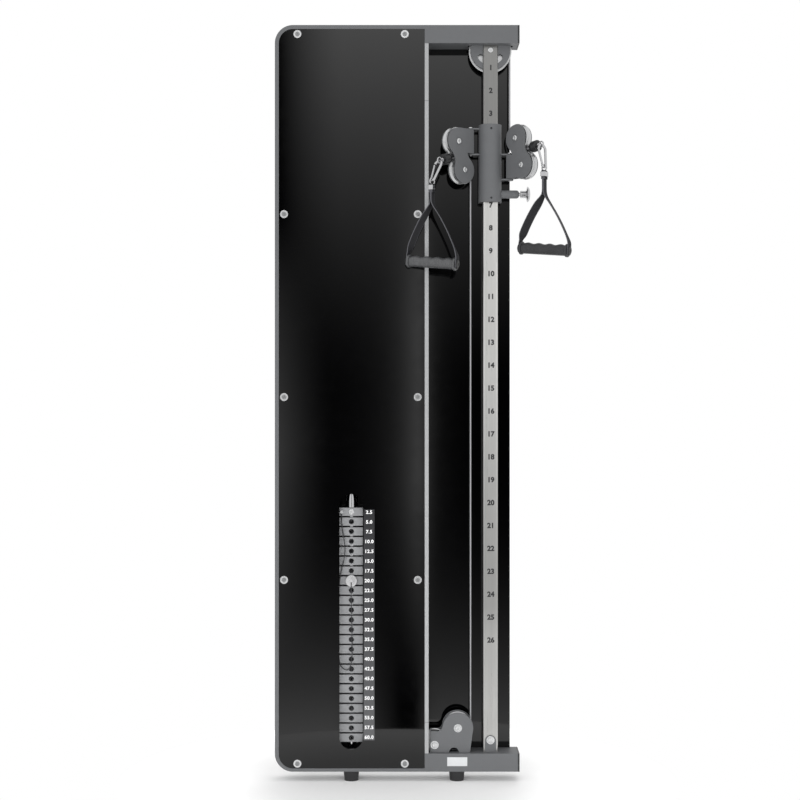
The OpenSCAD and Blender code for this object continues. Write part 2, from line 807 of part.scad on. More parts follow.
module column() {
    slot_z = top_pulley_at[1] - top_pulley_r - 3;
    color(satin_steel) difference() {
        translate([column_x, 0, base_top_z]) linear_extrude(beam_low_z - base_top_z) difference() {
            rounded_square(column_w, column_corner_r);
            rounded_square(column_w - 2 * column_wall, column_corner_r - column_wall / 2);
        }
        for (n = [0 : hole_count - 1]) {
            translate([column_x, 0, first_hole_z - n * hole_pitch]) rotate([0, 90, 0])
                cylinder(d = index_hole_d, h = column_w, $fn = 32);
        }
        block([column_x - column_w, -top_bracket_y - seat_gap, slot_z],
            [column_x + column_w, top_bracket_y + seat_gap, top_z]);
        rod_y(top_pulley_at, axle_d + 1, front_y, back_y);
        rod_y(column_bolt_at(), axle_d + 1, front_y, back_y);
    }
}

// A window bent round a pulley's axle
module kidney(at, r, w, a0, a1) {
    translate(at) {
        difference() {
            circle(r = r + w / 2);
            circle(r = r - w / 2);
            rotate(a1) translate([-2 * r, 0]) square(4 * r);
            rotate(a0) translate([-2 * r, -4 * r]) square(4 * r);
        }
        for (a = [a0, a1]) {
            translate(r * [cos(a), sin(a)]) circle(d = w, $fn = 32);
        }
    }
}

module top_pulley_bracket() {
    shape_top = beam_low_z;
    color(powder_grey) for (y = [-top_bracket_y, top_bracket_y - bracket_t]) {
        slab(y, y + bracket_t) difference() {
            intersection() {
                translate(top_pulley_at) circle(r = top_bracket_r);
                translate([top_pulley_at[0] - 100, shape_top - 200]) square(200);
            }
            translate(top_pulley_at) circle(d = axle_d + 1);
            kidney(top_pulley_at, 36, 18, -145, -110);
            kidney(top_pulley_at, 36, 18, -70, -35);
        }
    }
}

module base_bracket_shape() {
    lobe_radius = pulley_r + 4;
    shoulder_drop = 9;
    shoulder_z = base_upper[1] - shoulder_drop;
    hollow_rise = bracket_hollow_r - shoulder_drop;
    hollow_reach = lobe_radius + bracket_hollow_r;
    hollow = base_upper + [-sqrt(pow(hollow_reach, 2) - pow(hollow_rise, 2)), hollow_rise];
    difference() {
        union() {
            translate(base_upper) circle(r = lobe_radius);
            polygon([
                [divider_r + 5, base_top_z], [divider_r + 5, shoulder_z], [hollow[0], shoulder_z],
                base_upper + (hollow - base_upper) * lobe_radius / hollow_reach, base_upper,
                [base_upper[0] + lobe_radius, base_upper[1]], [base_upper[0] + 37, base_top_z]
            ]);
        }
        translate(hollow) circle(r = bracket_hollow_r);
        translate([base_upper[0] - 12, base_top_z]) circle(r = 15);
        for (at = [base_upper, base_lower]) {
            translate(at) circle(d = axle_d + 1);
        }
    }
}

module base_pulley_bracket() {
    color(powder_grey) {
        slab(-bracket_y - bracket_t, -bracket_y) base_bracket_shape();
        slab(fork_in + 2, fork_in + 2 + bracket_t) base_bracket_shape();
    }
}

// Two hangers for each pulley behind the cover, which clear the guide rods
module cabinet_pulley_brackets() {
    margin = 14;
    hangers = [[cross_left, beam_low_z], [cross_right, beam_low_z], [lift_pulley_at, top_z - beam_wall]];
    color(powder_grey) difference() {
        for (hanger = hangers, y = [-fork_in - bracket_t, fork_in]) {
            at = hanger[0];
            slab(y, y + bracket_t) difference() {
                translate(at - [margin, margin]) square([2 * margin, hanger[1] - at[1] + margin]);
                translate(at) circle(d = axle_d + 1);
            }
        }
        for (side = [-1, 1]) {
            translate([stack_x + side * rod_reach, rod_y, base_z])
                cylinder(d = rod_d + 2, h = frame_h);
        }
    }
}

module bracket_bolts() {
    far = fork_in + bracket_t;
    color(bright_metal) {
        bolt(top_pulley_at, -column_w / 2, column_w / 2);
        for (at = [base_upper, base_lower]) {
            bolt(at, -bracket_y - bracket_t, far + 2);
        }
        for (at = [cross_left, cross_right, lift_pulley_at]) {
            rod_y(at, axle_d, -far - 2, far + 2);
        }
        bolt(column_bolt_at(), -column_w / 2 - bracket_t, column_w / 2);
    }
}

module pulley_bearings() {
    spacer_d = axle_d + 6;
    color(satin_steel) {
        for (at = [base_upper, base_lower, cross_left, cross_right, lift_pulley_at, top_pulley_at]) {
            bearing(at);
        }
        for (at = [base_upper, base_lower]) {
            rod_ring(at, spacer_d, axle_d + run_gap, -bracket_y + seat_gap,
                -pulley_w / 2 - seat_gap);
        }
    }
}

module fixed_cable() {
    color(cord_black) {
        run(base_upper + cable_r * [cos(tangent_a), sin(tangent_a)],
            base_lower + cable_r * [cos(tangent_a), sin(tangent_a)], cable_d);
        bend(base_upper, cable_r, tangent_a, 0, cable_d);
        bend(base_lower, cable_r, -180, tangent_a, cable_d);
        run([base_lower[0] - cable_r, base_lower[1]], cross_right + [cable_r, 0], cable_d);
        bend(cross_right, cable_r, 0, 90, cable_d);
        run(cross_right + [0, cable_r], cross_left + [0, cable_r], cable_d);
        bend(cross_left, cable_r, 90, 180, cable_d);
        bend(lift_pulley_at, cable_r, 90, 180, cable_d);
        run(lift_pulley_at + [0, cable_r], top_pulley_at + [0, top_cable_r], cable_d);
        bend(top_pulley_at, top_cable_r, 0, 90, cable_d);
    }
}

module bay_cable_left() {
    color(cord_black)
        run([run_left_x, base_upper[1]], [run_left_x, left_near[1]], cable_d, 0, 0);
}

module bay_cable_right() {
    color(cord_black)
        run([run_right_x, right_near[1]], [run_right_x, top_pulley_at[1]], cable_d, 0, 0);
}

module stack_cable() {
    color(cord_black) {
        run(stack_pulley_at + [cable_r, 0], cross_left - [cable_r, 0], cable_d, 0, 0);
        run(stack_pulley_at - [cable_r, 0], lift_pulley_at - [cable_r, 0], cable_d, 0, 0);
    }
}

module top_pulley() {
    pulley(top_pulley_at, top_pulley_r, top_cable_r, bearing_d);
}

module base_pulley_upper() {
    pulley(base_upper, pulley_r, cable_r, bearing_d);
}

module base_pulley_lower() {
    pulley(base_lower, pulley_r, cable_r, bearing_d);
}

module lift_pulley() {
    pulley(lift_pulley_at, pulley_r, cable_r, bearing_d);
}

module cross_pulley_left() {
    pulley(cross_left, pulley_r, cable_r, bearing_d);
}

module cross_pulley_right() {
    pulley(cross_right, pulley_r, cable_r, bearing_d);
}

module stack_pulley() {
    pulley(stack_pulley_at, pulley_r, cable_r, axle_d + run_gap);
}

module stack_pulley_cable() {
    color(cord_black) bend(stack_pulley_at, cable_r, -180, 0, cable_d);
}

module selector_pin() {
    at = [stack_x, pin_z];
    color(satin_steel) {
        rod_y(at, pin_d, pin_knob_y - 1, pin_tip_y);
        rod_y(at, pin_knob_d, pin_knob_y - pin_knob_t, pin_knob_y);
        rod_y(at, boss_d, pin_knob_y - pin_knob_t - boss_t, pin_knob_y - pin_knob_t);
    }
}

// A point on the smooth line through four points of a route
function between(p, t) =
    0.5 * (2 * p[1] + (p[2] - p[0]) * t + (2 * p[0] - 5 * p[1] + 4 * p[2] - p[3]) * t * t
        + (3 * p[1] - p[0] - 3 * p[2] + p[3]) * t * t * t);

function smooth(route, steps) = [
    for (i = [0 : len(route) - 2], s = [0 : steps - 1])
        between([for (k = [-1 : 2]) route[min(max(i + k, 0), len(route) - 1)]], s / steps),
    route[len(route) - 1]
];

function unit(v) = v / norm(v);

// A round tube along a line of points that never runs along the depth
module cord(points, d, sides) {
    count = len(points);
    rings = [
        for (i = [0 : count - 1])
            let (
                ahead = unit(points[min(i + 1, count - 1)] - points[max(i - 1, 0)]),
                across = unit(cross(ahead, [0, 1, 0])),
                other = cross(ahead, across)
            )
            for (k = [0 : sides - 1])
                points[i] + d / 2 * (across * cos(360 * k / sides) + other * sin(360 * k / sides))
    ];
    walls = [
        for (i = [0 : count - 2], k = [0 : sides - 1], half = [0, 1])
            let (
                a = i * sides + k,
                b = i * sides + (k + 1) % sides
            )
            half == 0 ? [a, b, a + sides] : [b, b + sides, a + sides]
    ];
    ends = [
        [for (k = [0 : sides - 1]) sides - 1 - k],
        [for (k = [0 : sides - 1]) (count - 1) * sides + k]
    ];
    polyhedron(rings, concat(walls, ends));
}

module pin_lanyard() {
    color(cord_black) cord(smooth(lanyard_route, lanyard_steps), lanyard_d, lanyard_sides);
}

// An arm from the sleeve to a swivel's hinge pin
module arm(side, z) {
    x = column_x + side * swivel_reach;
    difference() {
        union() {
            translate([x, 0, z - arm_t / 2]) cylinder(d = arm_w, h = arm_t);
            block([side > 0 ? column_x + sleeve_d / 2 - 4 : x, -arm_w / 2, z - arm_t / 2],
                [side > 0 ? x : column_x - sleeve_d / 2 + 4, arm_w / 2, z + arm_t / 2]);
        }
        translate([x, 0, z - arm_t]) cylinder(d = hinge_d + run_gap, h = 2 * arm_t);
    }
}

module sleeve() {
    color(powder_grey) difference() {
        union() {
            translate([column_x, 0, sleeve_low_z]) cylinder(d = sleeve_d, h = sleeve_h, $fn = 96);
            for (side = [-1, 1]) {
                x = column_x + side * (sleeve_d / 2 - side_plate_t / 2);
                block([x - side_plate_t / 2, -3, sleeve_low_z],
                    [x + side_plate_t / 2, side_plate_d - 3, sleeve_high_z]);
            }
            arm(-1, arm_z[0]);
            arm(-1, arm_z[1]);
            arm(1, arm_z[1]);
            arm(1, arm_z[2]);
        }
        translate([column_x, 0, sleeve_low_z - 1])
            cylinder(d = sleeve_bore_d, h = sleeve_h + 2, $fn = 96);
        translate([column_x, 0, index_z]) rotate([0, 90, 0]) cylinder(d = index_hole_d, h = 60);
    }
}

module sleeve_bushings() {
    bore_w = column_w + slide_gap;
    color(rubber_black) for (z = [sleeve_low_z, sleeve_high_z - bushing_h]) {
        difference() {
            translate([column_x, 0, z]) linear_extrude(bushing_h) difference() {
                circle(d = sleeve_bore_d);
                rounded_square(bore_w, column_corner_r + slide_gap / 2);
            }
            translate([column_x, 0, index_z]) rotate([0, 90, 0])
                cylinder(d = index_hole_d, h = 60);
        }
    }
}

module plunger_barrel() {
    tip_x = column_x + sleeve_d / 2 + barrel_l;
    nose_r = barrel_d / 2 - 3.5;
    length = barrel_l + 3.5;
    color(powder_grey) difference() {
        translate([tip_x - length, 0, index_z]) rotate([0, 90, 0]) rotate_extrude()
            difference() {
                union() {
                    square([barrel_d / 2, length - nose_r]);
                    square([barrel_d / 2 - nose_r, length]);
                    translate([barrel_d / 2 - nose_r, length - nose_r]) circle(r = nose_r);
                }
                translate([-1, -1]) square([index_hole_d / 2 + 1, length + 2]);
                translate([-20, -1]) square([20, length + 2]);
            }
        translate([column_x, 0, index_z - barrel_d])
            cylinder(d = sleeve_d + 0.1, h = 2 * barrel_d, $fn = 96);
        block([column_x, -2.5, index_z - barrel_d],
            [column_x + sleeve_d / 2 + 0.1, side_plate_d, index_z + barrel_d]);
    }
}

module index_plunger() {
    tip_x = column_x + column_w / 2 + 0.4;
    neck_x = column_x + sleeve_d / 2 + barrel_l + plunger_stroke / 2 + 0.5;
    neck_l = 18;
    knob_l = 12;
    cup_d = knob_neck_d - 1.2;
    color(bright_metal) translate([0, 0, index_z]) rotate([0, 90, 0]) {
        translate([0, 0, tip_x]) cylinder(d = plunger_d, h = neck_x + 12 - tip_x);
        translate([0, 0, neck_x]) difference() {
            cylinder(d = knob_neck_d, h = neck_l);
            translate([0, 0, -1]) cylinder(d = cup_d, h = plunger_stroke / 2 + 1.5);
        }
        translate([0, 0, neck_x + neck_l]) cylinder(d1 = knob_neck_d, d2 = knob_d, h = knob_l / 3);
        translate([0, 0, neck_x + neck_l + knob_l / 3]) cylinder(d = knob_d, h = knob_l / 4);
        translate([0, 0, neck_x + neck_l + knob_l * 7 / 12])
            cylinder(d1 = knob_d, d2 = knob_d * 0.7, h = knob_l * 5 / 12);
    }
}

module hinge_pins() {
    color(bright_metal) for (hinge = [[left_axis, 0, 1], [right_axis, 1, 2]]) {
        high = arm_z[hinge[1]] + arm_t / 2;
        low = arm_z[hinge[2]] - arm_t / 2;
        translate(hinge[0]) {
            translate([0, 0, low - 2]) cylinder(d = hinge_d, h = high - low + 4);
            translate([0, 0, high + 0.1]) cylinder(d = hinge_d + 5, h = 3);
        }
    }
}

// Puts a shape that was made in a swivel's own plane at its place on the carriage
module on_swivel(axis, turn) {
    translate(axis) rotate([0, 0, turn]) children();
}

module peanut(a, b) {
    mid = (a + b) / 2;
    span = b - a;
    reach = sqrt(pow(lobe_r + waist_r, 2) - pow(norm(span) / 2, 2));
    side = reach * [-span[1], span[0]] / norm(span);
    translate(a) circle(r = lobe_r);
    translate(b) circle(r = lobe_r);
    difference() {
        polygon([a, mid + side, b, mid - side]);
        translate(mid + side) circle(r = waist_r);
        translate(mid - side) circle(r = waist_r);
    }
}

// Side plates, knuckle and the block that joins them, in the swivel's own plane
module swivel_frame(near, far, knuckle) {
    inner = pulley_w / 2 + side_gap;
    web = far[0] - pulley_r - 3;
    color(powder_grey) difference() {
        union() {
            for (y = [inner, -inner - side_t]) {
                slab(y, y + side_t) difference() {
                    union() {
                        peanut(near, far);
                        translate([0, knuckle[0]]) square([far[0], knuckle[1] - knuckle[0]]);
                    }
                    for (at = [near, far]) {
                        translate(at) circle(d = axle_d + run_gap);
                    }
                }
            }
            translate([0, 0, knuckle[0]]) cylinder(d = knuckle_d, h = knuckle[1] - knuckle[0]);
            block([0, -inner, knuckle[0]], [web, inner, knuckle[1]]);
        }
        translate([0, 0, knuckle[0] - 1])
            cylinder(d = hinge_d + run_gap, h = knuckle[1] - knuckle[0] + 2);
    }
}

module swivel_bolts(near, far) {
    outer = pulley_w / 2 + side_gap + side_t;
    color(bright_metal) for (at = [near, far]) {
        bolt(at, -outer, outer);
        rod_ring(at, bearing_d - run_gap, axle_d + run_gap, -outer + side_t + 0.2,
            outer - side_t - 0.2);
    }
}

// Cable round the near pulley and out to the stopper; side is 1 over the pulley, -1 under it
module lead_cable(near, slope, side, leave_at, stopper_at) {
    color(cord_black) {
        bend(near, cable_r, side > 0 ? slope + 90 : 180, side > 0 ? 180 : slope + 270, cable_d);
        run(leave_at, stopper_at, cable_d, wire_lap, 0);
    }
}

// A ring round an axis square to the swivel's plane
module ring(at, r, wire_d) {
    translate([at[0], 0, at[1]]) rotate([90, 0, 0]) rotate_extrude($fn = 48)
        translate([r, 0]) circle(d = wire_d, $fn = 20);
}

module stopper(at, slope) {
    nose_l = 10;
    edge = 2;
    color(rubber_black) translate([at[0], 0, at[1]]) rotate([0, 90 - slope, 0])
        rotate_extrude() polygon([
            [0, end_gap], [nose_d / 2, end_gap], [stopper_d / 2, nose_l],
            [stopper_d / 2, stopper_l - edge], [stopper_d / 2 - edge, stopper_l], [0, stopper_l]
        ]);
    color(bright_metal) {
        eye = at + along(slope, stopper_l + eye_out);
        difference() {
            run(at + along(slope, stopper_l), at + along(slope, stopper_l + eye_out - eye_r), 6, 1, 0);
            translate([eye[0], 0, eye[1]]) rotate([90, 0, 0]) translate([0, 0, -10])
                cylinder(r = eye_r, h = 20, $fn = 48);
        }
        ring(eye, eye_r, ring_wire_d);
    }
}

// Puts a shape drawn in a carabiner's own plane, hanging from its top, in the eye ring
module on_hook(eye, lean) {
    translate([eye[0], 0, eye[1]]) rotate([0, -lean, 0]) rotate([0, 0, 90])
        translate([0, 0, -hook_hang]) children();
}

hook_span = hook_h - hook_wide_r - hook_narrow_r;
hook_slope = asin((hook_wide_r - hook_narrow_r) / hook_span);
hook_wide = [0, -hook_wide_r];
hook_narrow = [0, -hook_h + hook_narrow_r];
gate_d = hook_d - 1.4;
gate_ball_d = gate_d + 0.8;
gate_pivot = hook_narrow + [-hook_narrow_r * cos(hook_slope),
    gate_ball_d / 2 + seat_gap - hook_narrow_r * sin(hook_slope)];
nose_angle = 172;
gate_top = hook_wide + [-hook_wide_r, -gate_ball_d / 2 + 0.7];

module carabiner(eye, lean) {
    out = [cos(hook_slope), -sin(hook_slope)];
    color(bright_metal) on_hook(eye, lean) {
        bend(hook_wide, hook_wide_r, -hook_slope, nose_angle, hook_d);
        run(hook_wide + hook_wide_r * out, hook_narrow + hook_narrow_r * out, hook_d);
        bend(hook_narrow, hook_narrow_r, 180 + hook_slope, 360 - hook_slope, hook_d);
    }
}

module gate(eye, lean) {
    color(bright_metal) on_hook(eye, lean) {
        run(gate_pivot, gate_top, gate_d, 0, 0);
        for (at = [gate_pivot, gate_top]) {
            translate([at[0], 0, at[1]]) sphere(d = gate_ball_d, $fn = 32);
        }
    }
}

// Puts a shape drawn with its grip across and its ring at the top at the end of a carabiner
module on_handle(axis, turn, ring_at, yaw) {
    at = [ring_at[0] * cos(turn), ring_at[0] * sin(turn), ring_at[1]];
    translate(axis + at) rotate([0, 0, -yaw]) children();
}

// Ends of the strap's two legs, on the grip's line
grip_end = grip_l / 2 + end_gap + strap_t / 2;
strap_left = [-grip_end * cos(grip_tilt), -grip_drop + grip_end * sin(grip_tilt)];
strap_right = [grip_end * cos(grip_tilt), -grip_drop - grip_end * sin(grip_tilt)];

// A flat bar between two points, a little longer than their distance so that it laps its neighbours
module bar(from, to, t) {
    span = to - from;
    lap = 0.4 * t;
    translate(from) rotate(atan2(span[1], span[0])) translate([-lap, -t / 2])
        square([norm(span) + 2 * lap, t]);
}

module strap() {
    tab_top = [0, -ring_hang - ring_r - ring_wire_d / 2 - strap_t - seat_gap];
    part_at = [0, -strap_part];
    knee = (grip_flange_d / 2 + 6) * [sin(grip_tilt), cos(grip_tilt)];
    color(cord_black) {
        slab(-strap_w / 2, strap_w / 2) {
            bar(tab_top, part_at, 2 * strap_t);
            for (end = [strap_left, strap_right]) {
                bar(part_at, end + knee, strap_t);
                bar(end + knee, end, strap_t);
            }
        }
        translate([0, 0, -grip_drop]) rotate([0, 90 + grip_tilt, 0])
            translate([0, 0, -grip_end]) cylinder(d = core_d, h = 2 * grip_end);
    }
}

module handle_ring(turn, yaw) {
    color(bright_metal) rotate([0, 0, turn + yaw]) ring([0, -ring_hang], ring_r, ring_wire_d);
}

module grip() {
    end_flange_t = 7;
    color(rubber_black) translate([0, 0, -grip_drop]) rotate([0, 90 + grip_tilt, 0])
        rotate_extrude() difference() {
            union() {
                translate([0, -grip_l / 2]) square([grip_d / 2, grip_l]);
                for (z = [-grip_l / 2, grip_l / 2 - end_flange_t]) {
                    translate([0, z]) square([grip_flange_d / 2, end_flange_t]);
                }
            }
            translate([-1, -grip_l]) square([grip_bore_d / 2 + 1, 2 * grip_l]);
        }
}

module left_swivel_frame() {
    on_swivel(left_axis, left_turn) swivel_frame(left_near, left_far, left_knuckle);
}

module left_swivel_bolts() {
    on_swivel(left_axis, left_turn) swivel_bolts(left_near, left_far);
}

module left_pulley_upper() {
    on_swivel(left_axis, left_turn) pulley(left_far, pulley_r, cable_r, bearing_d);
}

module left_pulley_lower() {
    on_swivel(left_axis, left_turn) pulley(left_near, pulley_r, cable_r, bearing_d);
}

module left_lead_cable() {
    on_swivel(left_axis, left_turn)
        lead_cable(left_near, left_exit, 1, left_leave, left_stopper);
}

module left_stopper() {
    on_swivel(left_axis, left_turn) stopper(left_stopper, left_exit);
}

module left_carabiner() {
    on_swivel(left_axis, left_turn) carabiner(left_eye, left_lean);
}

module left_gate() {
    on_swivel(left_axis, left_turn) gate(left_eye, left_lean);
}

module left_strap() {
    on_handle(left_axis, left_turn, left_ring, left_grip_yaw) {
        strap();
        handle_ring(left_turn, left_grip_yaw);
    }
}

module left_grip() {
    on_handle(left_axis, left_turn, left_ring, left_grip_yaw) grip();
}

module right_swivel_frame() {
    on_swivel(right_axis, right_turn) swivel_frame(right_near, right_far, right_knuckle);
}

module right_swivel_bolts() {
    on_swivel(right_axis, right_turn) swivel_bolts(right_near, right_far);
}

module right_pulley_upper() {
    on_swivel(right_axis, right_turn) pulley(right_near, pulley_r, cable_r, bearing_d);
}

module right_pulley_lower() {
    on_swivel(right_axis, right_turn) pulley(right_far, pulley_r, cable_r, bearing_d);
}

module right_lead_cable() {
    on_swivel(right_axis, right_turn)
        lead_cable(right_near, right_exit, -1, right_leave, right_stopper);
}

module right_stopper() {
    on_swivel(right_axis, right_turn) stopper(right_stopper, right_exit);
}

module right_carabiner() {
    on_swivel(right_axis, right_turn) carabiner(right_eye, right_lean);
}

module right_gate() {
    on_swivel(right_axis, right_turn) gate(right_eye, right_lean);
}

module right_strap() {
    on_handle(right_axis, right_turn, right_ring, right_grip_yaw) {
        strap();
        handle_ring(right_turn, right_grip_yaw);
    }
}

module right_grip() {
    on_handle(right_axis, right_turn, right_ring, right_grip_yaw) grip();
}

top_frame();
base_frame();
left_side_panel();
divider_panel();
cover_panel();
cover_screws();
cabinet_back_panel();
bay_back_panel();
beam_end_caps();
rubber_feet();
guide_rods();
stack_bumpers();
parked_plates();
column();
top_pulley_bracket();
base_pulley_bracket();
cabinet_pulley_brackets();
bracket_bolts();
pulley_bearings();
fixed_cable();
bay_cable_left();
bay_cable_right();
stack_cable();
top_pulley();
base_pulley_upper();
base_pulley_lower();
lift_pulley();
cross_pulley_left();
cross_pulley_right();
lifted_plates();
selector_stem();
stack_pulley();
stack_pulley_cable();
selector_pin();
pin_lanyard();
sleeve();
sleeve_bushings();
plunger_barrel();
index_plunger();
hinge_pins();
left_swivel_frame();
left_swivel_bolts();
left_pulley_upper();
left_pulley_lower();
left_lead_cable();
left_stopper();
left_carabiner();
left_gate();
left_strap();
left_grip();
right_swivel_frame();
right_swivel_bolts();
right_pulley_upper();
right_pulley_lower();
right_lead_cable();
right_stopper();
right_carabiner();
right_gate();
right_strap();
right_grip();
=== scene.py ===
"""Finish, cables, fasteners, numbers and soft pieces of a wall pulley weight stack."""

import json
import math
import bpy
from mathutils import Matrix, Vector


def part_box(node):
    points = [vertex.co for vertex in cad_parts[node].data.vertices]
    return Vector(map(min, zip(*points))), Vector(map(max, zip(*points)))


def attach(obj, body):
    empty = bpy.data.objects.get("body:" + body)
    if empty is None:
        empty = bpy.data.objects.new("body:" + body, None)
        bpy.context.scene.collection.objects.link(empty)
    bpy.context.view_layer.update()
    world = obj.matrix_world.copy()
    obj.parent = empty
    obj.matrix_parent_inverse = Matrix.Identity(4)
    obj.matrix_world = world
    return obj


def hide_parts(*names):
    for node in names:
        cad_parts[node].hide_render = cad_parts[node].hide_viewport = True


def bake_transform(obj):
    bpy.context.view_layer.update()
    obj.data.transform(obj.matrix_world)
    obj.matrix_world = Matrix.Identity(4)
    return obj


bl_info = {
    "name": "Wall Pulley Weight Stack",
    "version": (1, 0, 0),
    "blender": (4, 5, 0),
    "location": "3D View > Sidebar > Weight Stack",
    "description": "Dresses the frame of a wall pulley weight stack",
    "category": "Object",
}

from functools import partial

import bmesh
import bpy
from bpy.props import FloatProperty, FloatVectorProperty, IntProperty, PointerProperty
from mathutils import Matrix, Vector

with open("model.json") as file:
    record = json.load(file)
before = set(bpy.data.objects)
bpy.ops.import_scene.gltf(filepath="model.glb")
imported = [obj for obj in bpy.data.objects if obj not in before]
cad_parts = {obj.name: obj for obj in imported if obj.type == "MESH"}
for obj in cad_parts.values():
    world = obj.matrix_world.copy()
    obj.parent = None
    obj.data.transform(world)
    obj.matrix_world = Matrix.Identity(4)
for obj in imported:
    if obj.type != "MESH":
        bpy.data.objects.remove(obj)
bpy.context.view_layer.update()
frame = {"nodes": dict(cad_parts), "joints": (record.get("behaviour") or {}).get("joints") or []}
JOINTS = {joint["name"]: joint for joint in frame["joints"]}
SIDES = ("left", "right")
UP = Vector((0, 0, 1))
TO_FRONT = Vector((0, -1, 0))
SMOOTH_ANGLE = math.radians(38)
PLATE_HEIGHT, PLATE_PITCH, PLATE_COUNT = 0.025, 0.030, 24
STEM_X, LANYARD_X = -0.140, -0.170
BEAM_HEIGHT = 0.055


def joint_place(name):
    return Vector(JOINTS[name]["pos_m"])


def joint_axis(name):
    return Vector(JOINTS[name]["axis"]).normalized()


def node_middle(node):
    low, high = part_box(node)
    return (low + high) / 2


# Settings that a user would change


def length_setting(name, description, default, low, high):
    return FloatProperty(name=name, description=description, default=default, min=low, max=high,
                         unit="LENGTH")


def colour_setting(name, description, default):
    return FloatVectorProperty(name=name, description=description, default=default, min=0, max=1,
                               size=3, subtype="COLOR")


class StackSettings(bpy.types.PropertyGroup):
    """Sizes of the stack's fittings"""

    strip_width: length_setting(
        "Number strip width", "Width of the film beside the slot", 0.033, 0.02, 0.05)
    digit_height: length_setting(
        "Weight digit size", "Size of the numbers on the film", 0.0142, 0.008, 0.02)
    index_digit_height: length_setting(
        "Index digit size", "Size of the numbers on the column", 0.0215, 0.01, 0.03)
    first_weight: FloatProperty(
        name="First weight", description="Number beside the top plate", default=2.5, min=0.5, max=10)
    film_front: length_setting(
        "Film thickness", "How far the film stands off the cover", 0.0004, 0.0001, 0.001)


class CableSettings(bpy.types.PropertyGroup):
    """Sizes of the cables and the lanyard"""

    cable_diameter: length_setting(
        "Cable diameter", "Diameter of the sheathed cable", 0.005, 0.003, 0.008)
    lanyard_diameter: length_setting(
        "Lanyard diameter", "Diameter of the selector pin's lanyard", 0.003, 0.002, 0.004)
    lanyard_length: length_setting(
        "Lanyard length", "Length of the lanyard from end to end", 0.764, 0.5, 1.0)


class HandleSettings(bpy.types.PropertyGroup):
    """Sizes of the handles"""

    strap_width: length_setting("Strap width", "Width of the webbing", 0.025, 0.02, 0.04)
    strap_thickness: length_setting(
        "Strap thickness", "Thickness of one layer of webbing", 0.0026, 0.001, 0.004)
    grip_length: length_setting("Grip length", "Length of a grip over its flanges", 0.158, 0.12, 0.18)
    grip_radius: length_setting(
        "Grip radius", "Radius of a grip between its flanges", 0.0168, 0.012, 0.02)
    grip_waves: IntProperty(
        name="Finger waves", description="Number of finger places on a grip", default=4, min=2, max=6)


class FinishSettings(bpy.types.PropertyGroup):
    """Colours of the main finishes"""

    powder: colour_setting("Powder coat", "Colour of the frame's coat", (0.104, 0.107, 0.112))
    plates: colour_setting("Plates", "Colour of the weight plates", (0.288, 0.292, 0.300))
    webbing: colour_setting("Webbing", "Colour of the handles' straps", (0.022, 0.022, 0.024))
    floor: colour_setting("Floor", "Colour of the studio floor", (0.86, 0.86, 0.86))


def settings(name):
    return getattr(bpy.context.scene, "weight_stack_" + name)


# Mesh tools


def link_piece(name, mesh):
    piece = bpy.data.objects.new(name, mesh)
    bpy.context.scene.collection.objects.link(piece)
    return piece


def new_piece(name, vertices, faces):
    """A piece with rounded shading, from its corners and faces."""
    mesh = bpy.data.meshes.new(name)
    mesh.from_pydata([tuple(v) for v in vertices], [], faces)
    mesh.validate()
    mesh.update()
    mesh.polygons.foreach_set("use_smooth", [True] * len(mesh.polygons))
    mesh.set_sharp_from_angle(angle=SMOOTH_ANGLE)
    return link_piece(name, mesh)


def piece_from(name, made):
    """A piece from a bmesh, which is freed."""
    mesh = bpy.data.meshes.new(name)
    made.to_mesh(mesh)
    made.free()
    return link_piece(name, mesh)


def axis_basis(axis, start=None):
    """Three directions: the start of the round, the next quarter, and the axis."""
    along = Vector(axis).normalized()
    first = Vector(start) if start is not None else (UP if abs(along.z) < 0.9 else Vector((1, 0, 0)))
    first = (first - along * first.dot(along)).normalized()
    return first, along.cross(first), along


def band_faces(low, high):
    """Faces between two closed rows of corners. A row may be a single point."""
    faces = []
    count = max(len(low), len(high))
    for k in range(count):
        n = (k + 1) % count
        if len(low) > 1 and len(high) > 1:
            faces.append((low[k], low[n], high[n], high[k]))
        elif len(low) > 1:
            faces.append((low[k], low[n], high[0]))
        elif len(high) > 1:
            faces.append((low[0], high[n], high[k]))
    return faces


def swept_faces(count, sides, closed=False):
    """Faces along rows of corners, capped at both ends or closed on themselves."""
    rows = [range(i * sides, (i + 1) * sides) for i in range(count)]
    following = rows[1:] + rows[:1] if closed else rows[1:]
    faces = [face for low, high in zip(rows, following) for face in band_faces(low, high)]
    if not closed:
        faces += [tuple(reversed(rows[0])), tuple(rows[-1])]
    return faces


def lathe_parts(profile, origin, axis, segments=48, radius_at=None, start=None, closed=False):
    """Vertices and faces of a turned form. The profile is a list of (radius, height) along the axis."""
    first, second, along = axis_basis(axis, start)
    vertices, rows = [], []
    for radius, height in profile:
        centre = Vector(origin) + along * height
        if radius < 1e-7:
            rows.append([len(vertices)])
            vertices.append(centre)
            continue
        rows.append(range(len(vertices), len(vertices) + segments))
        for k in range(segments):
            angle = 2 * math.pi * k / segments
            r = radius_at(angle, radius, height) if radius_at else radius
            vertices.append(centre + (first * math.cos(angle) + second * math.sin(angle)) * r)
    following = rows[1:] + rows[:1] if closed else rows[1:]
    return vertices, [face for low, high in zip(rows, following) for face in band_faces(low, high)]


def join_parts(parts):
    """Vertices and faces of several parts as one."""
    vertices, faces = [], []
    for part_vertices, part_faces in parts:
        shift = len(vertices)
        vertices += part_vertices
        faces += [tuple(i + shift for i in face) for face in part_faces]
    return vertices, faces


def lathe(name, profile, origin, axis, **options):
    return new_piece(name, *lathe_parts(profile, origin, axis, **options))


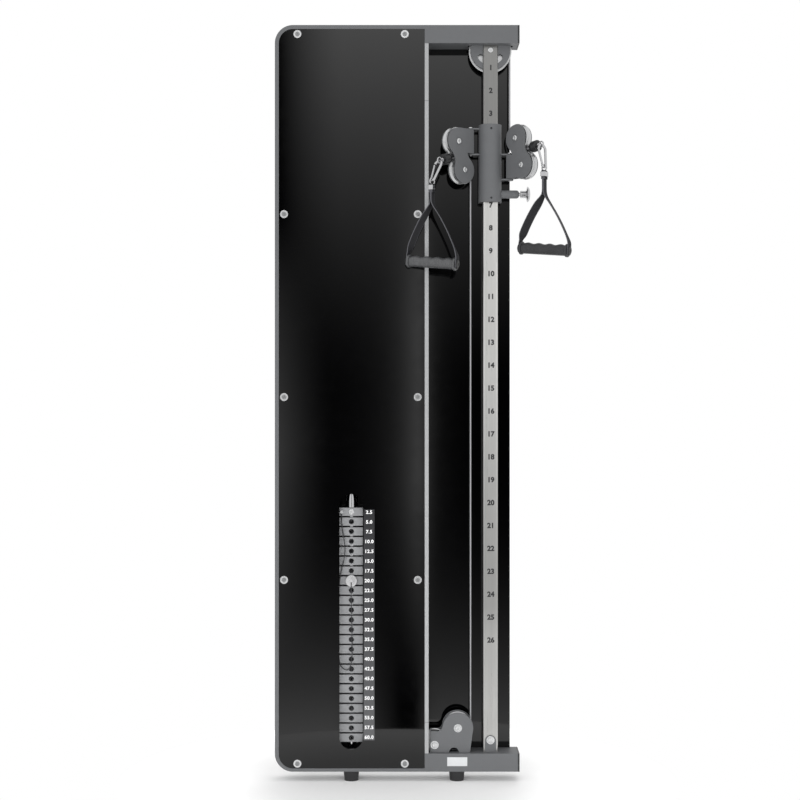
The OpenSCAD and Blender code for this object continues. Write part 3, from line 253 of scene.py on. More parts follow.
def rod_parts(radius, low, high, origin, axis):
    """A plain rod between two heights on an axis."""
    return lathe_parts([(0, low), (radius, low), (radius, high), (0, high)], origin, axis, segments=24)


def arc(centre, radius, start, end, steps):
    """Points (radius, height) along an arc; angles in degrees."""
    points = []
    for i in range(steps + 1):
        a = math.radians(start + (end - start) * i / steps)
        points.append((centre[0] + radius * math.cos(a), centre[1] + radius * math.sin(a)))
    return points


def tube_parts(points, diameter, sides=12, closed=False):
    """Vertices and faces of a round tube along a line of points."""
    points = [Vector(p) for p in points]
    count = len(points)
    ahead = []
    for i in range(count):
        after = points[(i + 1) % count] if closed or i + 1 < count else points[i]
        before = points[i - 1] if closed or i > 0 else points[i]
        ahead.append((after - before).normalized())
    normal = axis_basis(ahead[0])[0]
    vertices = []
    for point, way in zip(points, ahead):
        normal = (normal - way * normal.dot(way)).normalized()
        other = way.cross(normal)
        for k in range(sides):
            a = 2 * math.pi * k / sides
            vertices.append(point + (normal * math.cos(a) + other * math.sin(a)) * diameter / 2)
    return vertices, swept_faces(count, sides, closed)


def smooth_route(route, steps):
    """The route's points, joined by a smooth line through all of them."""
    points = []
    last = len(route) - 1
    for i in range(last):
        p = [Vector(route[min(max(i + k, 0), last)]) for k in (-1, 0, 1, 2)]
        for s in range(steps):
            t = s / steps
            points.append(0.5 * (
                2 * p[1] + (p[2] - p[0]) * t + (2 * p[0] - 5 * p[1] + 4 * p[2] - p[3]) * t * t
                + (3 * p[1] - p[0] - 3 * p[2] + p[3]) * t ** 3))
    points.append(Vector(route[last]))
    return points


def ribbon(name, points, across, width, thickness):
    """A flat band along points. across gives the band's width direction at each point."""
    half, thick, round_edge = width / 2, thickness / 2, thickness * 0.42
    outline = [
        (-half, -thick + round_edge), (-half + round_edge, -thick), (0, -thick),
        (half - round_edge, -thick), (half, -thick + round_edge), (half, thick - round_edge),
        (half - round_edge, thick), (0, thick), (-half + round_edge, thick), (-half, thick - round_edge),
    ]
    points = [Vector(p) for p in points]
    count, sides = len(points), len(outline)
    vertices, lengths, length = [], [], 0.0
    for i, point in enumerate(points):
        if i:
            length += (point - points[i - 1]).length
        lengths.append(length)
        ahead = (points[min(i + 1, count - 1)] - points[max(i - 1, 0)]).normalized()
        side = (across[i] - ahead * across[i].dot(ahead)).normalized()
        out = ahead.cross(side)
        vertices += [point + side * w + out * t for w, t in outline]
    faces = swept_faces(count, sides)
    band = new_piece(name, vertices, faces)
    layer = band.data.uv_layers.new(name="Woven")
    corners = [corner for face in faces for corner in face]
    for loop, corner in enumerate(corners):
        layer.data[loop].uv = (outline[corner % sides][0] + half, lengths[corner // sides])
    return band


def flat_boxes(name, boxes, bevel):
    """One piece of boxes with rounded edges, each given by its low and high corner."""
    made = bmesh.new()
    for low, high in boxes:
        low, high = Vector(low), Vector(high)
        corners = bmesh.ops.create_cube(made, size=1)["verts"]
        bmesh.ops.scale(made, vec=high - low, verts=corners)
        bmesh.ops.translate(made, vec=(low + high) / 2, verts=corners)
        edges = [edge for edge in made.edges if edge.verts[0] in corners]
        bmesh.ops.bevel(made, geom=edges, offset=bevel, segments=3, profile=0.5, affect="EDGES")
    return piece_from(name, made)


def printed_text(name, lines, size, thickness, boldness, spacing=1.0):
    """Flat text that faces the front. lines is a list of (words, middle)."""
    look = {"size": size, "extrude": thickness / 2, "offset": boldness, "space_character": spacing,
            "resolution_u": 4, "align_x": "CENTER", "align_y": "CENTER"}
    made = bmesh.new()
    turn = Matrix.Rotation(math.radians(90), 4, "X")
    for words, middle in lines:
        curve = bpy.data.curves.new(name, "FONT")
        curve.body = words
        for label, value in look.items():
            setattr(curve, label, value)
        carrier = link_piece(name, curve)
        bpy.context.view_layer.update()
        shape = bpy.data.meshes.new_from_object(carrier)
        shape.transform(Matrix.Translation(middle) @ turn)
        made.from_mesh(shape)
        bpy.data.objects.remove(carrier)
        bpy.data.curves.remove(curve)
        bpy.data.meshes.remove(shape)
    bmesh.ops.remove_doubles(made, verts=made.verts, dist=1e-7)
    return piece_from(name, made)


# Shader groups


def new_group(name, inputs, outputs):
    group = bpy.data.node_groups.new(name, "ShaderNodeTree")
    for label, value in inputs.items():
        socket = group.interface.new_socket(name=label, in_out="INPUT", socket_type="NodeSocketFloat")
        socket.default_value = value
    for label in outputs:
        group.interface.new_socket(name=label, in_out="OUTPUT", socket_type="NodeSocketFloat")
    given = group.nodes.new("NodeGroupInput").outputs
    return group, given, group.nodes.new("NodeGroupOutput")


def set_input(tree, socket, value):
    """Links an input to another node's output, or sets its value."""
    if isinstance(value, bpy.types.NodeSocket):
        tree.links.new(value, socket)
    else:
        socket.default_value = value


def feed(tree, node, **values):
    """Sets a node's inputs by name, where an underscore stands for a space."""
    for label, value in values.items():
        set_input(tree, node.inputs[label.replace("_", " ")], value)


def math_node(tree, operation, first, second=None, clamp=False):
    node = tree.nodes.new("ShaderNodeMath")
    node.operation = operation
    node.use_clamp = clamp
    for socket, value in zip(node.inputs, (first, second)):
        if value is not None:
            set_input(tree, socket, value)
    return node.outputs[0]


def object_place(tree):
    return tree.nodes.new("ShaderNodeTexCoord").outputs["Object"]


def split_vector(tree, vector):
    parts = tree.nodes.new("ShaderNodeSeparateXYZ")
    tree.links.new(vector, parts.inputs[0])
    return parts.outputs


def noise(tree, place, scale, detail, roughness=0.55):
    node = tree.nodes.new("ShaderNodeTexNoise")
    feed(tree, node, Vector=place, Scale=scale, Detail=detail, Roughness=roughness)
    return node.outputs["Fac"]


def between(tree, value, low, high):
    """value, from 0 to 1, spread from low to high."""
    reach = math_node(tree, "SUBTRACT", high, low)
    return math_node(tree, "ADD", low, math_node(tree, "MULTIPLY", value, reach))


def make_grain_group():
    """Fine orange-peel grain of a coat or a moulded skin."""
    group, given, end = new_group("Fine Grain", {"Scale": 900.0, "Low": 0.35, "High": 0.45},
                                  ["Height", "Roughness"])
    fine = noise(group, object_place(group), given["Scale"], 2.0)
    feed(group, end, Height=fine, Roughness=between(group, fine, given["Low"], given["High"]))
    return group


def make_marks_group():
    """Broad faint smudges and rub marks, as a mask."""
    group, given, end = new_group("Handling Marks", {"Scale": 6.0, "Amount": 0.3}, ["Mask"])
    calc = partial(math_node, group)
    place = object_place(group)
    finer, contrast, clean = 9.0, 4.0, 0.6
    broad = noise(group, place, given["Scale"], 4.0, 0.6)
    small = noise(group, place, calc("MULTIPLY", given["Scale"], finer), 3.0, 0.6)
    mixed = calc("MULTIPLY", calc("MULTIPLY", broad, small), contrast)
    spots = calc("SUBTRACT", mixed, clean, clamp=True)
    feed(group, end, Mask=calc("MULTIPLY", spots, given["Amount"]))
    return group


def make_brushed_group():
    """Long fine lines, drawn out along one direction."""
    group, given, end = new_group(
        "Brushed Lines", {"Across X": 1.0, "Across Y": 1.0, "Across Z": 0.02, "Scale": 700.0},
        ["Height", "Tone"])
    calc = partial(math_node, group)
    stretch = group.nodes.new("ShaderNodeCombineXYZ")
    feed(group, stretch, **{axis: given["Across " + axis] for axis in "XYZ"})
    placed = group.nodes.new("ShaderNodeVectorMath")
    placed.operation = "MULTIPLY"
    group.links.new(object_place(group), placed.inputs[0])
    group.links.new(stretch.outputs[0], placed.inputs[1])
    coarser = calc("MULTIPLY", given["Scale"], 0.15)
    fine = noise(group, placed.outputs[0], given["Scale"], 2.0, 0.7)
    coarse = noise(group, placed.outputs[0], coarser, 2.0)
    feed(group, end, Height=fine, Tone=calc("MULTIPLY", calc("ADD", fine, coarse), 0.5))
    return group


def make_weave_group():
    """Ribs and crossing yarns of a woven band, on its own map in metres, with a mask for a painted
    highlight along its edges.
    """
    group, given, end = new_group("Webbing Weave", {"Width": 0.025, "Yarn": 0.0016},
                                  ["Height", "Edge"])
    calc = partial(math_node, group)
    woven = group.nodes.new("ShaderNodeUVMap")
    woven.uv_map = "Woven"
    parts = split_vector(group, woven.outputs[0])
    rate = calc("DIVIDE", 2 * math.pi, given["Yarn"])
    cross = calc("MULTIPLY", *(calc("SINE", calc("MULTIPLY", parts[way], rate)) for way in "XY"))
    share = calc("DIVIDE", parts["X"], given["Width"])
    off_middle = calc("ABSOLUTE", calc("SUBTRACT", share, 0.5))
    relief, edge_start, edge_rise = 0.4, 0.40, 12.0
    feed(group, end, Height=calc("ADD", calc("MULTIPLY", cross, relief), 0.5),
         Edge=calc("MULTIPLY", calc("SUBTRACT", off_middle, edge_start), edge_rise, clamp=True))
    return group


GROUPS = {}


def place_group(tree, name, **values):
    """Places one of the groups with its inputs set, and gives its outputs."""
    node = tree.nodes.new("ShaderNodeGroup")
    node.node_tree = GROUPS[name]
    feed(tree, node, **values)
    return node.outputs


def mix_colour(tree, factor, first, second):
    node = tree.nodes.new("ShaderNodeMix")
    node.data_type = "RGBA"
    tree.links.new(factor, node.inputs["Factor"])
    sockets = {s.name: s for s in node.inputs if s.type == "RGBA"}
    for label, value in (("A", first), ("B", second)):
        set_input(tree, sockets[label], (*value, 1.0) if isinstance(value, tuple) else value)
    return [s for s in node.outputs if s.type == "RGBA"][0]


def shade(colour, factor):
    return tuple(min(max(c * factor, 0.0), 1.0) for c in colour)


def start_material(name):
    material = bpy.data.materials.new(name)
    material.use_nodes = True
    tree = material.node_tree
    return material, tree, tree.nodes["Principled BSDF"]


def add_bump(tree, shader, height, strength, distance, edge_radius=0.0):
    """A bump, over rounded edges where they have a radius."""
    bump = tree.nodes.new("ShaderNodeBump")
    feed(tree, bump, Strength=strength, Distance=distance, Height=height)
    if edge_radius:
        rounded = tree.nodes.new("ShaderNodeBevel")
        rounded.samples = 4
        feed(tree, rounded, Radius=edge_radius)
        feed(tree, bump, Normal=rounded.outputs[0])
    feed(tree, shader, Normal=bump.outputs[0])


def coat_material(name, colour, metallic=0.0, low=0.35, high=0.5, scale=900.0, strength=0.25,
                  edge_radius=0.0008, marks=0.25, mark_scale=6.0, shift=1.25, specular=0.5):
    """A coat, skin or bare metal with fine grain and faint broad marks."""
    material, tree, shader = start_material(name)
    grain = place_group(tree, "Fine Grain", Scale=scale, Low=low, High=high)
    mask = place_group(tree, "Handling Marks", Scale=mark_scale, Amount=marks)["Mask"]
    roughening = 0.12
    rubbed = math_node(tree, "MULTIPLY", mask, roughening)
    feed(tree, shader, Metallic=metallic, Specular_IOR_Level=specular,
         Base_Color=mix_colour(tree, mask, tuple(colour), shade(colour, shift)),
         Roughness=math_node(tree, "ADD", grain["Roughness"], rubbed))
    add_bump(tree, shader, grain["Height"], strength, distance=0.0002, edge_radius=edge_radius)
    return material


def brushed_material(name, colour, across, low=0.22, high=0.36, scale=700.0, painted_shade_by_height=()):
    """Bare metal with long fine lines. The last argument pairs heights with a share, 0 to 1, of a darker
    copy of the colour mixed in there: painted shade in bands that stands in for reflections.
    """
    material, tree, shader = start_material(name)
    bright_tones, painted_shade_tones = (0.86, 1.12), (0.31, 0.43)
    lines = place_group(tree, "Brushed Lines", Across_X=across[0], Across_Y=across[1],
                        Across_Z=across[2], Scale=scale)
    tone = mix_colour(tree, lines["Tone"], *(shade(colour, factor) for factor in bright_tones))
    if painted_shade_by_height:
        full = painted_shade_by_height[-1][0]
        ramp = tree.nodes.new("ShaderNodeValToRGB")
        up = split_vector(tree, object_place(tree))["Z"]
        tree.links.new(math_node(tree, "DIVIDE", up, full), ramp.inputs[0])
        stops = ramp.color_ramp.elements
        while len(stops) < len(painted_shade_by_height):
            stops.new(0.5)
        for stop, (height, shaded) in zip(stops, painted_shade_by_height):
            stop.position = height / full
            stop.color = (shaded, shaded, shaded, 1)
        # The darker copy of the satin, mixed in by height, is painted shade
        painted_shade_tone = mix_colour(tree, lines["Tone"], *(shade(colour, factor) for factor in painted_shade_tones))
        tone = mix_colour(tree, ramp.outputs["Color"], tone, painted_shade_tone)
    feed(tree, shader, Metallic=1.0, Base_Color=tone, Roughness=between(tree, lines["Tone"], low, high))
    add_bump(tree, shader, lines["Height"], strength=0.12, distance=0.0001, edge_radius=0.0006)
    return material


def acrylic_material(name):
    """Polished black sheet."""
    material, tree, shader = start_material(name)
    mask = place_group(tree, "Handling Marks", Scale=3.0, Amount=0.02)["Mask"]
    black, smudge = (0.0003, 0.0003, 0.0004), (0.004, 0.004, 0.0045)
    feed(tree, shader, Specular_IOR_Level=0.5, Base_Color=mix_colour(tree, mask, black, smudge),
         Roughness=math_node(tree, "ADD", mask, 0.03))
    return material


def film_material(name, low_z, high_z):
    """Dark film behind the weights, paler toward its lower end."""
    material, tree, shader = start_material(name)
    pale, dark, fade = (0.115, 0.116, 0.12), (0.022, 0.022, 0.024), 0.6
    calc = partial(math_node, tree)
    above = calc("SUBTRACT", split_vector(tree, object_place(tree))["Z"], low_z)
    height = calc("POWER", calc("DIVIDE", above, high_z - low_z, clamp=True), fade)
    grain = place_group(tree, "Fine Grain", Scale=800.0, Low=0.34, High=0.42)
    feed(tree, shader, Specular_IOR_Level=0.15, Roughness=grain["Roughness"],
         Base_Color=mix_colour(tree, height, pale, dark))
    return material


def webbing_material(name, colour, width):
    """Woven band with edges made paler by a painted highlight."""
    material, tree, shader = start_material(name)
    weave = place_group(tree, "Webbing Weave", Width=width)
    feed(tree, shader, Specular_IOR_Level=0.12,
         Base_Color=mix_colour(tree, weave["Edge"], tuple(colour), shade(colour, 5.0)),
         Roughness=between(tree, weave["Height"], 0.5, 0.68))
    add_bump(tree, shader, weave["Height"], strength=0.8, distance=0.0005)
    return material


MATERIALS = {}


# Heights above the floor in metres, each with the share of painted shade on the column's satin there, 0
# to 1: painted reflection bands
COLUMN_PAINTED_SHADE = ((0.0, 0.42), (0.42, 0.44), (0.53, 0.66), (0.64, 0.64), (0.90, 0.40), (1.10, 0.14),
                   (1.24, 0.0), (1.78, 0.0), (1.98, 1.0), (2.30, 1.0))


def make_materials():
    for make_group in (make_grain_group, make_marks_group, make_brushed_group, make_weave_group):
        group = make_group()
        GROUPS[group.name] = group
    finish = settings("finish")
    stack_low, stack_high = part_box("parked_plates")[0].z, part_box("lifted_plates")[1].z
    metal, flat_edge = {"metallic": 1.0}, {"edge_radius": 0.0}
    MATERIALS.update({
        "powder": coat_material("Anthracite powder coat", tuple(finish.powder), scale=1400.0, low=0.42,
                                high=0.56, strength=0.35, edge_radius=0.0012, marks=0.35, shift=1.18),
        "pale_coat": coat_material("Silver grey coat", (0.35, 0.355, 0.36), scale=1200.0, low=0.34,
                                   high=0.46, strength=0.2, metallic=0.3),
        "cover": acrylic_material("Polished black cover"),
        "black_panel": acrylic_material("Polished black panel"),
        "plates": coat_material("Pale coat of the plates", tuple(finish.plates), scale=500.0, low=0.38,
                                high=0.52, strength=0.4, marks=0.5, mark_scale=14.0, shift=0.72,
                                metallic=0.35),
        # The column's satin carries painted reflection: brighter and darker bands by height
        "column": brushed_material("Satin nickel column", (0.79, 0.785, 0.765), (1.0, 1.0, 0.015),
                                   low=0.24, high=0.34, painted_shade_by_height=COLUMN_PAINTED_SHADE),
        "zinc": coat_material("Bright zinc", (0.80, 0.805, 0.81), low=0.20, high=0.30, scale=600.0,
                              strength=0.08, edge_radius=0.0004, marks=0.4, shift=0.8, **metal),
        "chrome": coat_material("Polished chrome", (0.58, 0.58, 0.59), low=0.05, high=0.10, scale=300.0,
                                strength=0.02, marks=0.15, shift=0.85, **metal, **flat_edge),
        "turned": brushed_material("Turned steel", (0.74, 0.74, 0.75), (1.0, 0.05, 1.0), high=0.34),
        "pulley": brushed_material("Turned aluminium", (0.64, 0.645, 0.65), (0.2, 1.0, 0.2), low=0.24,
                                   high=0.38, scale=500.0),
        "rubber": coat_material("Black rubber", (0.012, 0.012, 0.013), low=0.34, high=0.48, scale=700.0,
                                strength=0.3, marks=0.4, mark_scale=20.0, shift=1.8),
        "cable": coat_material("Grey cable sheath", (0.30, 0.30, 0.31), low=0.22, high=0.36,
                               scale=400.0, strength=0.1, marks=0.3, mark_scale=30.0, shift=0.7,
                               **flat_edge),
        "lanyard": coat_material("Braided lanyard", (0.028, 0.028, 0.03), low=0.5, high=0.7,
                                 scale=1600.0, strength=0.9, marks=0.4, mark_scale=60.0, shift=2.0,
                                 **flat_edge),
        "webbing": webbing_material("Black webbing", tuple(finish.webbing),
                                    settings("handles").strap_width),
        "grip": coat_material("Ribbed grip rubber", (0.026, 0.026, 0.028), low=0.26, high=0.40,
                              scale=1100.0, strength=0.4, marks=0.5, mark_scale=25.0, shift=1.7,
                              specular=0.35, **flat_edge),
        # The left grip: glossier rubber with stronger pale mottles, and a paler base colour that is
        # painted sheen
        "sheen_painted_grip": coat_material("Grip rubber with painted sheen", (0.045, 0.046, 0.048), low=0.16,
                                      high=0.34, scale=1100.0, strength=0.5, marks=0.7,
                                      mark_scale=45.0, shift=1.9, specular=0.75, **flat_edge),
        "gloss_rubber": coat_material("Glossy stopper rubber", (0.008, 0.008, 0.009), low=0.14,
                                      high=0.24, scale=700.0, strength=0.15, marks=0.3, **flat_edge),
        "bushing": coat_material("Nylon bushing", (0.05, 0.05, 0.052), low=0.4),
        "film": film_material("Dark film", stack_low, stack_high),
        "white_print": coat_material("White print", (0.85, 0.85, 0.85), low=0.45, high=0.55, marks=0.2,
                                     mark_scale=40.0, shift=0.9, **flat_edge),
        "dark_print": coat_material("Dark print", (0.012, 0.012, 0.013), low=0.45, high=0.55,
                                    marks=0.3, mark_scale=40.0, shift=2.0, **flat_edge),
        "bare_label": coat_material("Bare silver label", (0.62, 0.63, 0.64), high=0.45, metallic=0.2,
                                    edge_radius=0.0002, marks=0.4, mark_scale=50.0, shift=0.85),
        "grey_steel": coat_material("Grey steel of the socket heads", (0.36, 0.365, 0.37), low=0.24,
                                    high=0.36, scale=600.0, strength=0.1, edge_radius=0.0004,
                                    marks=0.4, shift=0.8, **metal),
        "dark_steel": coat_material("Black oxide steel", (0.02, 0.02, 0.021), metallic=0.6, marks=0.3,
                                    shift=1.8),
    })


NODE_FINISHES = {
    "powder": ["top_frame", "base_frame", "left_side_panel", "divider_panel", "top_pulley_bracket",
               "base_pulley_bracket", "cabinet_pulley_brackets", "sleeve", "plunger_barrel",
               "left_swivel_frame", "right_swivel_frame"],
    "cover": ["cover_panel"],
    "black_panel": ["cabinet_back_panel", "bay_back_panel"],
    "plates": ["parked_plates", "lifted_plates"],
    "column": ["column"],
    "zinc": ["hinge_pins", "bracket_bolts"],
    "chrome": ["guide_rods", "selector_stem", "left_carabiner", "right_carabiner", "left_gate",
               "right_gate"],
    "turned": ["pulley_bearings"],
    "pulley": ["top_pulley", "base_pulley_upper", "base_pulley_lower", "lift_pulley",
               "cross_pulley_left", "cross_pulley_right", "stack_pulley", "left_pulley_upper",
               "left_pulley_lower", "right_pulley_upper", "right_pulley_lower"],
    "rubber": ["beam_end_caps", "rubber_feet", "stack_bumpers"],
    "cable": ["fixed_cable", "stack_pulley_cable"],
    "bushing": ["sleeve_bushings"],
}


def dress(piece, finish, body=None, instead_of=()):
    """Gives a new piece its finish and its body, and hides what it stands for."""
    piece.data.materials.clear()
    piece.data.materials.append(MATERIALS[finish])
    if body:
        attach(piece, body)
    if instead_of:
        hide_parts(*instead_of)
    return piece


def dressed(name, parts, finish, body=None, instead_of=()):
    """A new piece joined from parts, and dressed."""
    return dress(new_piece(name, *join_parts(parts)), finish, body, instead_of)


# Operators


# Each lamp's name, place, diameter in metres and power in watts
STUDIO_LAMPS = (
    ("key", (-2.2, -4.2, 1.7), 1.6, 58), ("fill", (3.0, -3.6, 1.1), 2.2, 24),
    ("low", (0.1, -2.2, 0.25), 1.0, 14), ("top", (0.2, -0.9, 4.6), 2.6, 16),
    ("rear", (0.5, 3.2, 3.2), 2.4, 40),
)
LAMPS_AIM = Vector((0.1, 0.0, 1.1))


class WEIGHTSTACK_OT_stage(bpy.types.Operator):
    """Makes the floor, the studio light and the camera"""

    bl_idname = "weight_stack.stage"
    bl_label = "Stage"

    def execute(self, context):
        scene = context.scene
        self.camera(scene)
        radius, thickness = 0.85, 0.004
        floor = lathe("studio_floor", [(0, -thickness), (radius, -thickness), (radius, 0), (0, 0)],
                      (0, 0, 0), UP, segments=96)
        floor.data.materials.append(self.floor_material())
        for lamp in STUDIO_LAMPS:
            self.soft_light(*lamp)
        self.surroundings(scene)
        scene.view_settings.view_transform = "Standard"
        return {"FINISHED"}

    def camera(self, scene):
        """Square to the front, as wide as the picture is at the front of the frame."""
        front_y, reach, view_width = -0.05, 5.0, 2.432
        middle_x, middle_z = 0.0085, 1.160
        data = bpy.data.cameras.new("camera")
        data.sensor_width = 36.0
        data.lens = data.sensor_width * reach / view_width
        scene.camera = bpy.data.objects.new("camera", data)
        scene.camera.location = (middle_x, front_y - reach, middle_z)
        scene.camera.rotation_euler = (math.radians(90), 0, 0)
        scene.collection.objects.link(scene.camera)

    def floor_material(self):
        """Pale, with a painted glow that grows brighter the farther it is from the frame."""
        material, tree, shader = start_material("Pale studio floor")
        near, fade, dim, bright = 0.40, 0.38, 0.06, 0.34
        grain = place_group(tree, "Fine Grain", Scale=40.0, Low=0.6, High=0.75)
        colour = tuple(settings("finish").floor)
        length = tree.nodes.new("ShaderNodeVectorMath")
        length.operation = "LENGTH"
        tree.links.new(object_place(tree), length.inputs[0])
        beyond = math_node(tree, "SUBTRACT", length.outputs["Value"], near)
        share = math_node(tree, "DIVIDE", beyond, fade, clamp=True)
        # The emission is painted light: dim near the frame, bright farther off, so the floor fades into
        # the white all round
        feed(tree, shader, Roughness=grain["Roughness"], Emission_Color=(1, 1, 1, 1),
             Base_Color=mix_colour(tree, grain["Height"], shade(colour, 0.98), colour),
             Emission_Strength=between(tree, share, dim, bright))
        return material

    def soft_light(self, name, place, size, energy):
        """A round lamp that neither the camera nor a polished face sees."""
        light = bpy.data.lights.new(name, "AREA")
        light.shape = "DISK"
        light.size = size
        light.energy = energy
        lamp = link_piece(name, light)
        lamp.location = place
        lamp.rotation_euler = (LAMPS_AIM - Vector(place)).to_track_quat("-Z", "Y").to_euler()
        lamp.visible_camera = False
        lamp.visible_glossy = False

    def surroundings(self, scene):
        """Pale all round, with the dim room behind the camera that the polished panels mirror."""
        world = bpy.data.worlds.new("studio")
        scene.world = world
        world.use_nodes = True
        tree = world.node_tree
        calc = partial(math_node, tree)
        parts = split_vector(tree, tree.nodes.new("ShaderNodeTexCoord").outputs["Generated"])
        right, up = parts["X"], parts["Z"]

        def beyond(value, edge, reach, way=1):
            """How far a value lies beyond an edge, in parts of a reach."""
            return calc("MAXIMUM", calc("MULTIPLY", calc("SUBTRACT", value, edge), way / reach), 0.0)

        def power(value, exponent, factor=1.0):
            """A power of a value, times a factor."""
            return calc("MULTIPLY", calc("POWER", value, exponent), factor)

        def less(base, value):
            """What stays of a base once a value is taken off."""
            return calc("SUBTRACT", base, value, clamp=True)

        def product(first, *others):
            for other in others:
                first = calc("MULTIPLY", first, other)
            return first

        # The room's bright patches: each fades beyond an edge, over a reach
        height = calc("ABSOLUTE", up)
        ceiling = product(power(beyond(up, 0.0, 1.0), 2, 32.0),
                          less(1.2, power(beyond(right, -0.012, 0.055, -1), 2, 1.03)))
        ground_right = calc("MINIMUM", beyond(right, 0.010, 0.010), 0.9)
        ground = product(power(beyond(up, 0.0, 0.215, -1), 4, 1.49),
                         calc("MAXIMUM", less(1.0, beyond(right, -0.0395, 0.040)), ground_right))
        off_lamp = calc("ADD", beyond(right, 0.0125, 0.0085, -1), beyond(right, 0.0125, 0.0035))
        lamp = product(calc("DIVIDE", 1.05, calc("ADD", power(off_lamp, 2), 1.0)),
                       power(less(1.0, beyond(height, 0.050, 0.135)), 1.3))
        off_window = calc("ABSOLUTE", calc("ADD", up, 0.03))
        window = product(power(beyond(right, -0.0395, 0.0274, -1), 2, 0.51),
                         less(1.0, beyond(off_window, 0.0, 0.14)))
        room = calc("ADD", calc("ADD", ceiling, ground), calc("ADD", lamp, window))
        inside = product(less(1.0, beyond(height, 0.25, 0.03)),
                         less(1.0, beyond(calc("ABSOLUTE", right), 0.09, 0.03)),
                         calc("LESS_THAN", parts["Y"], 0.0))
        all_round = calc("MULTIPLY", less(1.0, inside), 0.9)
        strength = tree.nodes.new("ShaderNodeMix")
        strength.data_type = "FLOAT"
        camera_ray = tree.nodes.new("ShaderNodeLightPath").outputs["Is Camera Ray"]
        tree.links.new(camera_ray, strength.inputs[0])
        tree.links.new(calc("ADD", all_round, product(room, inside)), strength.inputs[2])
        strength.inputs[3].default_value = 1.0
        feed(tree, tree.nodes["Background"], Color=(1, 1, 1, 1), Strength=strength.outputs[0])


class WEIGHTSTACK_OT_finishes(bpy.types.Operator):
    """Makes the materials and gives each carried node its finish"""

    bl_idname = "weight_stack.finishes"
    bl_label = "Finishes"

    def execute(self, context):
        make_materials()
        for finish, names in NODE_FINISHES.items():
            for name in names:
                node = frame["nodes"][name]
                if not node.material_slots:
                    node.data.materials.append(None)
                for slot in node.material_slots:
                    slot.material = MATERIALS[finish]
        return {"FINISHED"}


# The lanyard's route, in metres
LANYARD_ROUTE = [
    (-0.170, -0.030, 0.8127), (-0.170, -0.031, 0.794), (-0.167, -0.036, 0.764), (-0.162, -0.038, 0.735),
    (-0.159, -0.038, 0.705), (-0.162, -0.037, 0.675), (-0.169, -0.036, 0.645), (-0.175, -0.036, 0.612),
    (-0.178, -0.036, 0.575), (-0.179, -0.036, 0.535), (-0.179, -0.036, 0.490), (-0.179, -0.036, 0.445),
    (-0.179, -0.036, 0.400), (-0.1775, -0.036, 0.372), (-0.173, -0.036, 0.352), (-0.164, -0.036, 0.341),
    (-0.154, -0.036, 0.337), (-0.1455, -0.036, 0.342), (-0.1405, -0.036, 0.355), (-0.1385, -0.036, 0.376),
    (-0.1375, -0.036, 0.400), (-0.138, -0.036, 0.450), (-0.139, -0.037, 0.505), (-0.140, -0.040, 0.550),
    (-0.140, -0.042, 0.580), (-0.140, -0.042, 0.6047),
]


class WEIGHTSTACK_OT_lanyard(bpy.types.Operator):
    """Makes the lanyard between the top plate and the selector pin"""

    bl_idname = "weight_stack.lanyard"
    bl_label = "Lanyard"

    def execute(self, context):
        size = settings("cables")
        path = smooth_route(LANYARD_ROUTE, 8)
        lanyard = new_piece("lanyard", *tube_parts(path, size.lanyard_diameter, sides=10))
        dress(lanyard, "lanyard", instead_of=["pin_lanyard"])
        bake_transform(lanyard)
        return {"FINISHED"}


def straight(low, high, steps):
    """Points along a straight line, both ends among them."""
    return [Vector(low).lerp(Vector(high), i / steps) for i in range(steps + 1)]


class WEIGHTSTACK_OT_cables(bpy.types.Operator):
    """Makes the cable runs of the bay, the stack and the handles' leads"""

    bl_idname = "weight_stack.cables"
    bl_label = "Cables"

    def execute(self, context):
        self.diameter = settings("cables").cable_diameter
        self.upright("bay_cable_left", "frame", "carriage")
        self.upright("bay_cable_right", "carriage", "frame")
        self.stack_runs()
        for side in SIDES:
            self.lead(side)
        return {"FINISHED"}

    def run(self, name, node, lines, low_body, high_body, start, end):
        """A cable tube along lines of points, in place of a node."""
        parts = [tube_parts(line, self.diameter) for line in lines]
        run = dressed(name, parts, "cable", instead_of=[node])
        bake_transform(run)

    def upright(self, node, low_body, high_body):
        """A straight run, with rings at its ends only."""
        low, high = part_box(node)
        middle = (low + high) / 2
        foot, head = Vector((middle.x, middle.y, low.z)), Vector((middle.x, middle.y, high.z))
        self.run(node + "_run", node, [straight(foot, head, 1)], low_body, high_body, foot, head)

    def stack_runs(self):
        low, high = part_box("stack_cable")
        lines = []
        for x in (low.x + self.diameter / 2, high.x - self.diameter / 2):
            top = joint_place("lift_wheel_turn" if x < STEM_X else "cross_left_wheel_turn").z
            lines.append(straight((x, 0, low.z), (x, 0, top), 1))
        self.run("stack_cable_runs", "stack_cable", lines, "lifted_stack", "frame", (0, 0, low.z),
                 (0, 0, high.z))

    def lead(self, side):
        """Round the swivel's guiding pulley and out to the stopper."""
        wheel = joint_place(f"{side}_{'lower' if side == 'left' else 'upper'}_wheel_turn")
        exit_way = joint_axis(f"{side}_pull")
        hinge = joint_place(f"{side}_swivel_yaw")
        outward = Vector((wheel.x - hinge.x, wheel.y - hinge.y, 0)).normalized()
        line_radius = Vector((wheel.x - hinge.x, wheel.y - hinge.y)).length
        over = 1 if side == "left" else -1
        square = Vector((-outward.x * exit_way.z, -outward.y * exit_way.z, exit_way.dot(outward))) * over
        leave = wheel + square * line_radius
        start_angle = math.pi
        end_angle = math.atan2(square.z, square.dot(outward))
        turn = end_angle - start_angle if over > 0 else (end_angle + 2 * math.pi) - start_angle
        steps = 14
        points = []
        for i in range(steps):
            a = start_angle + turn * i / steps
            points.append(wheel + (outward * math.cos(a) + UP * math.sin(a)) * line_radius)
        stopper_reach = 0.0465
        stop = joint_place(f"{side}_hook_swing") - exit_way * stopper_reach
        points += straight(leave, stop, 8)
        self.run(f"{side}_lead_run", f"{side}_lead_cable", [points], f"{side}_swivel",
                 f"{side}_pull_end", leave, stop)


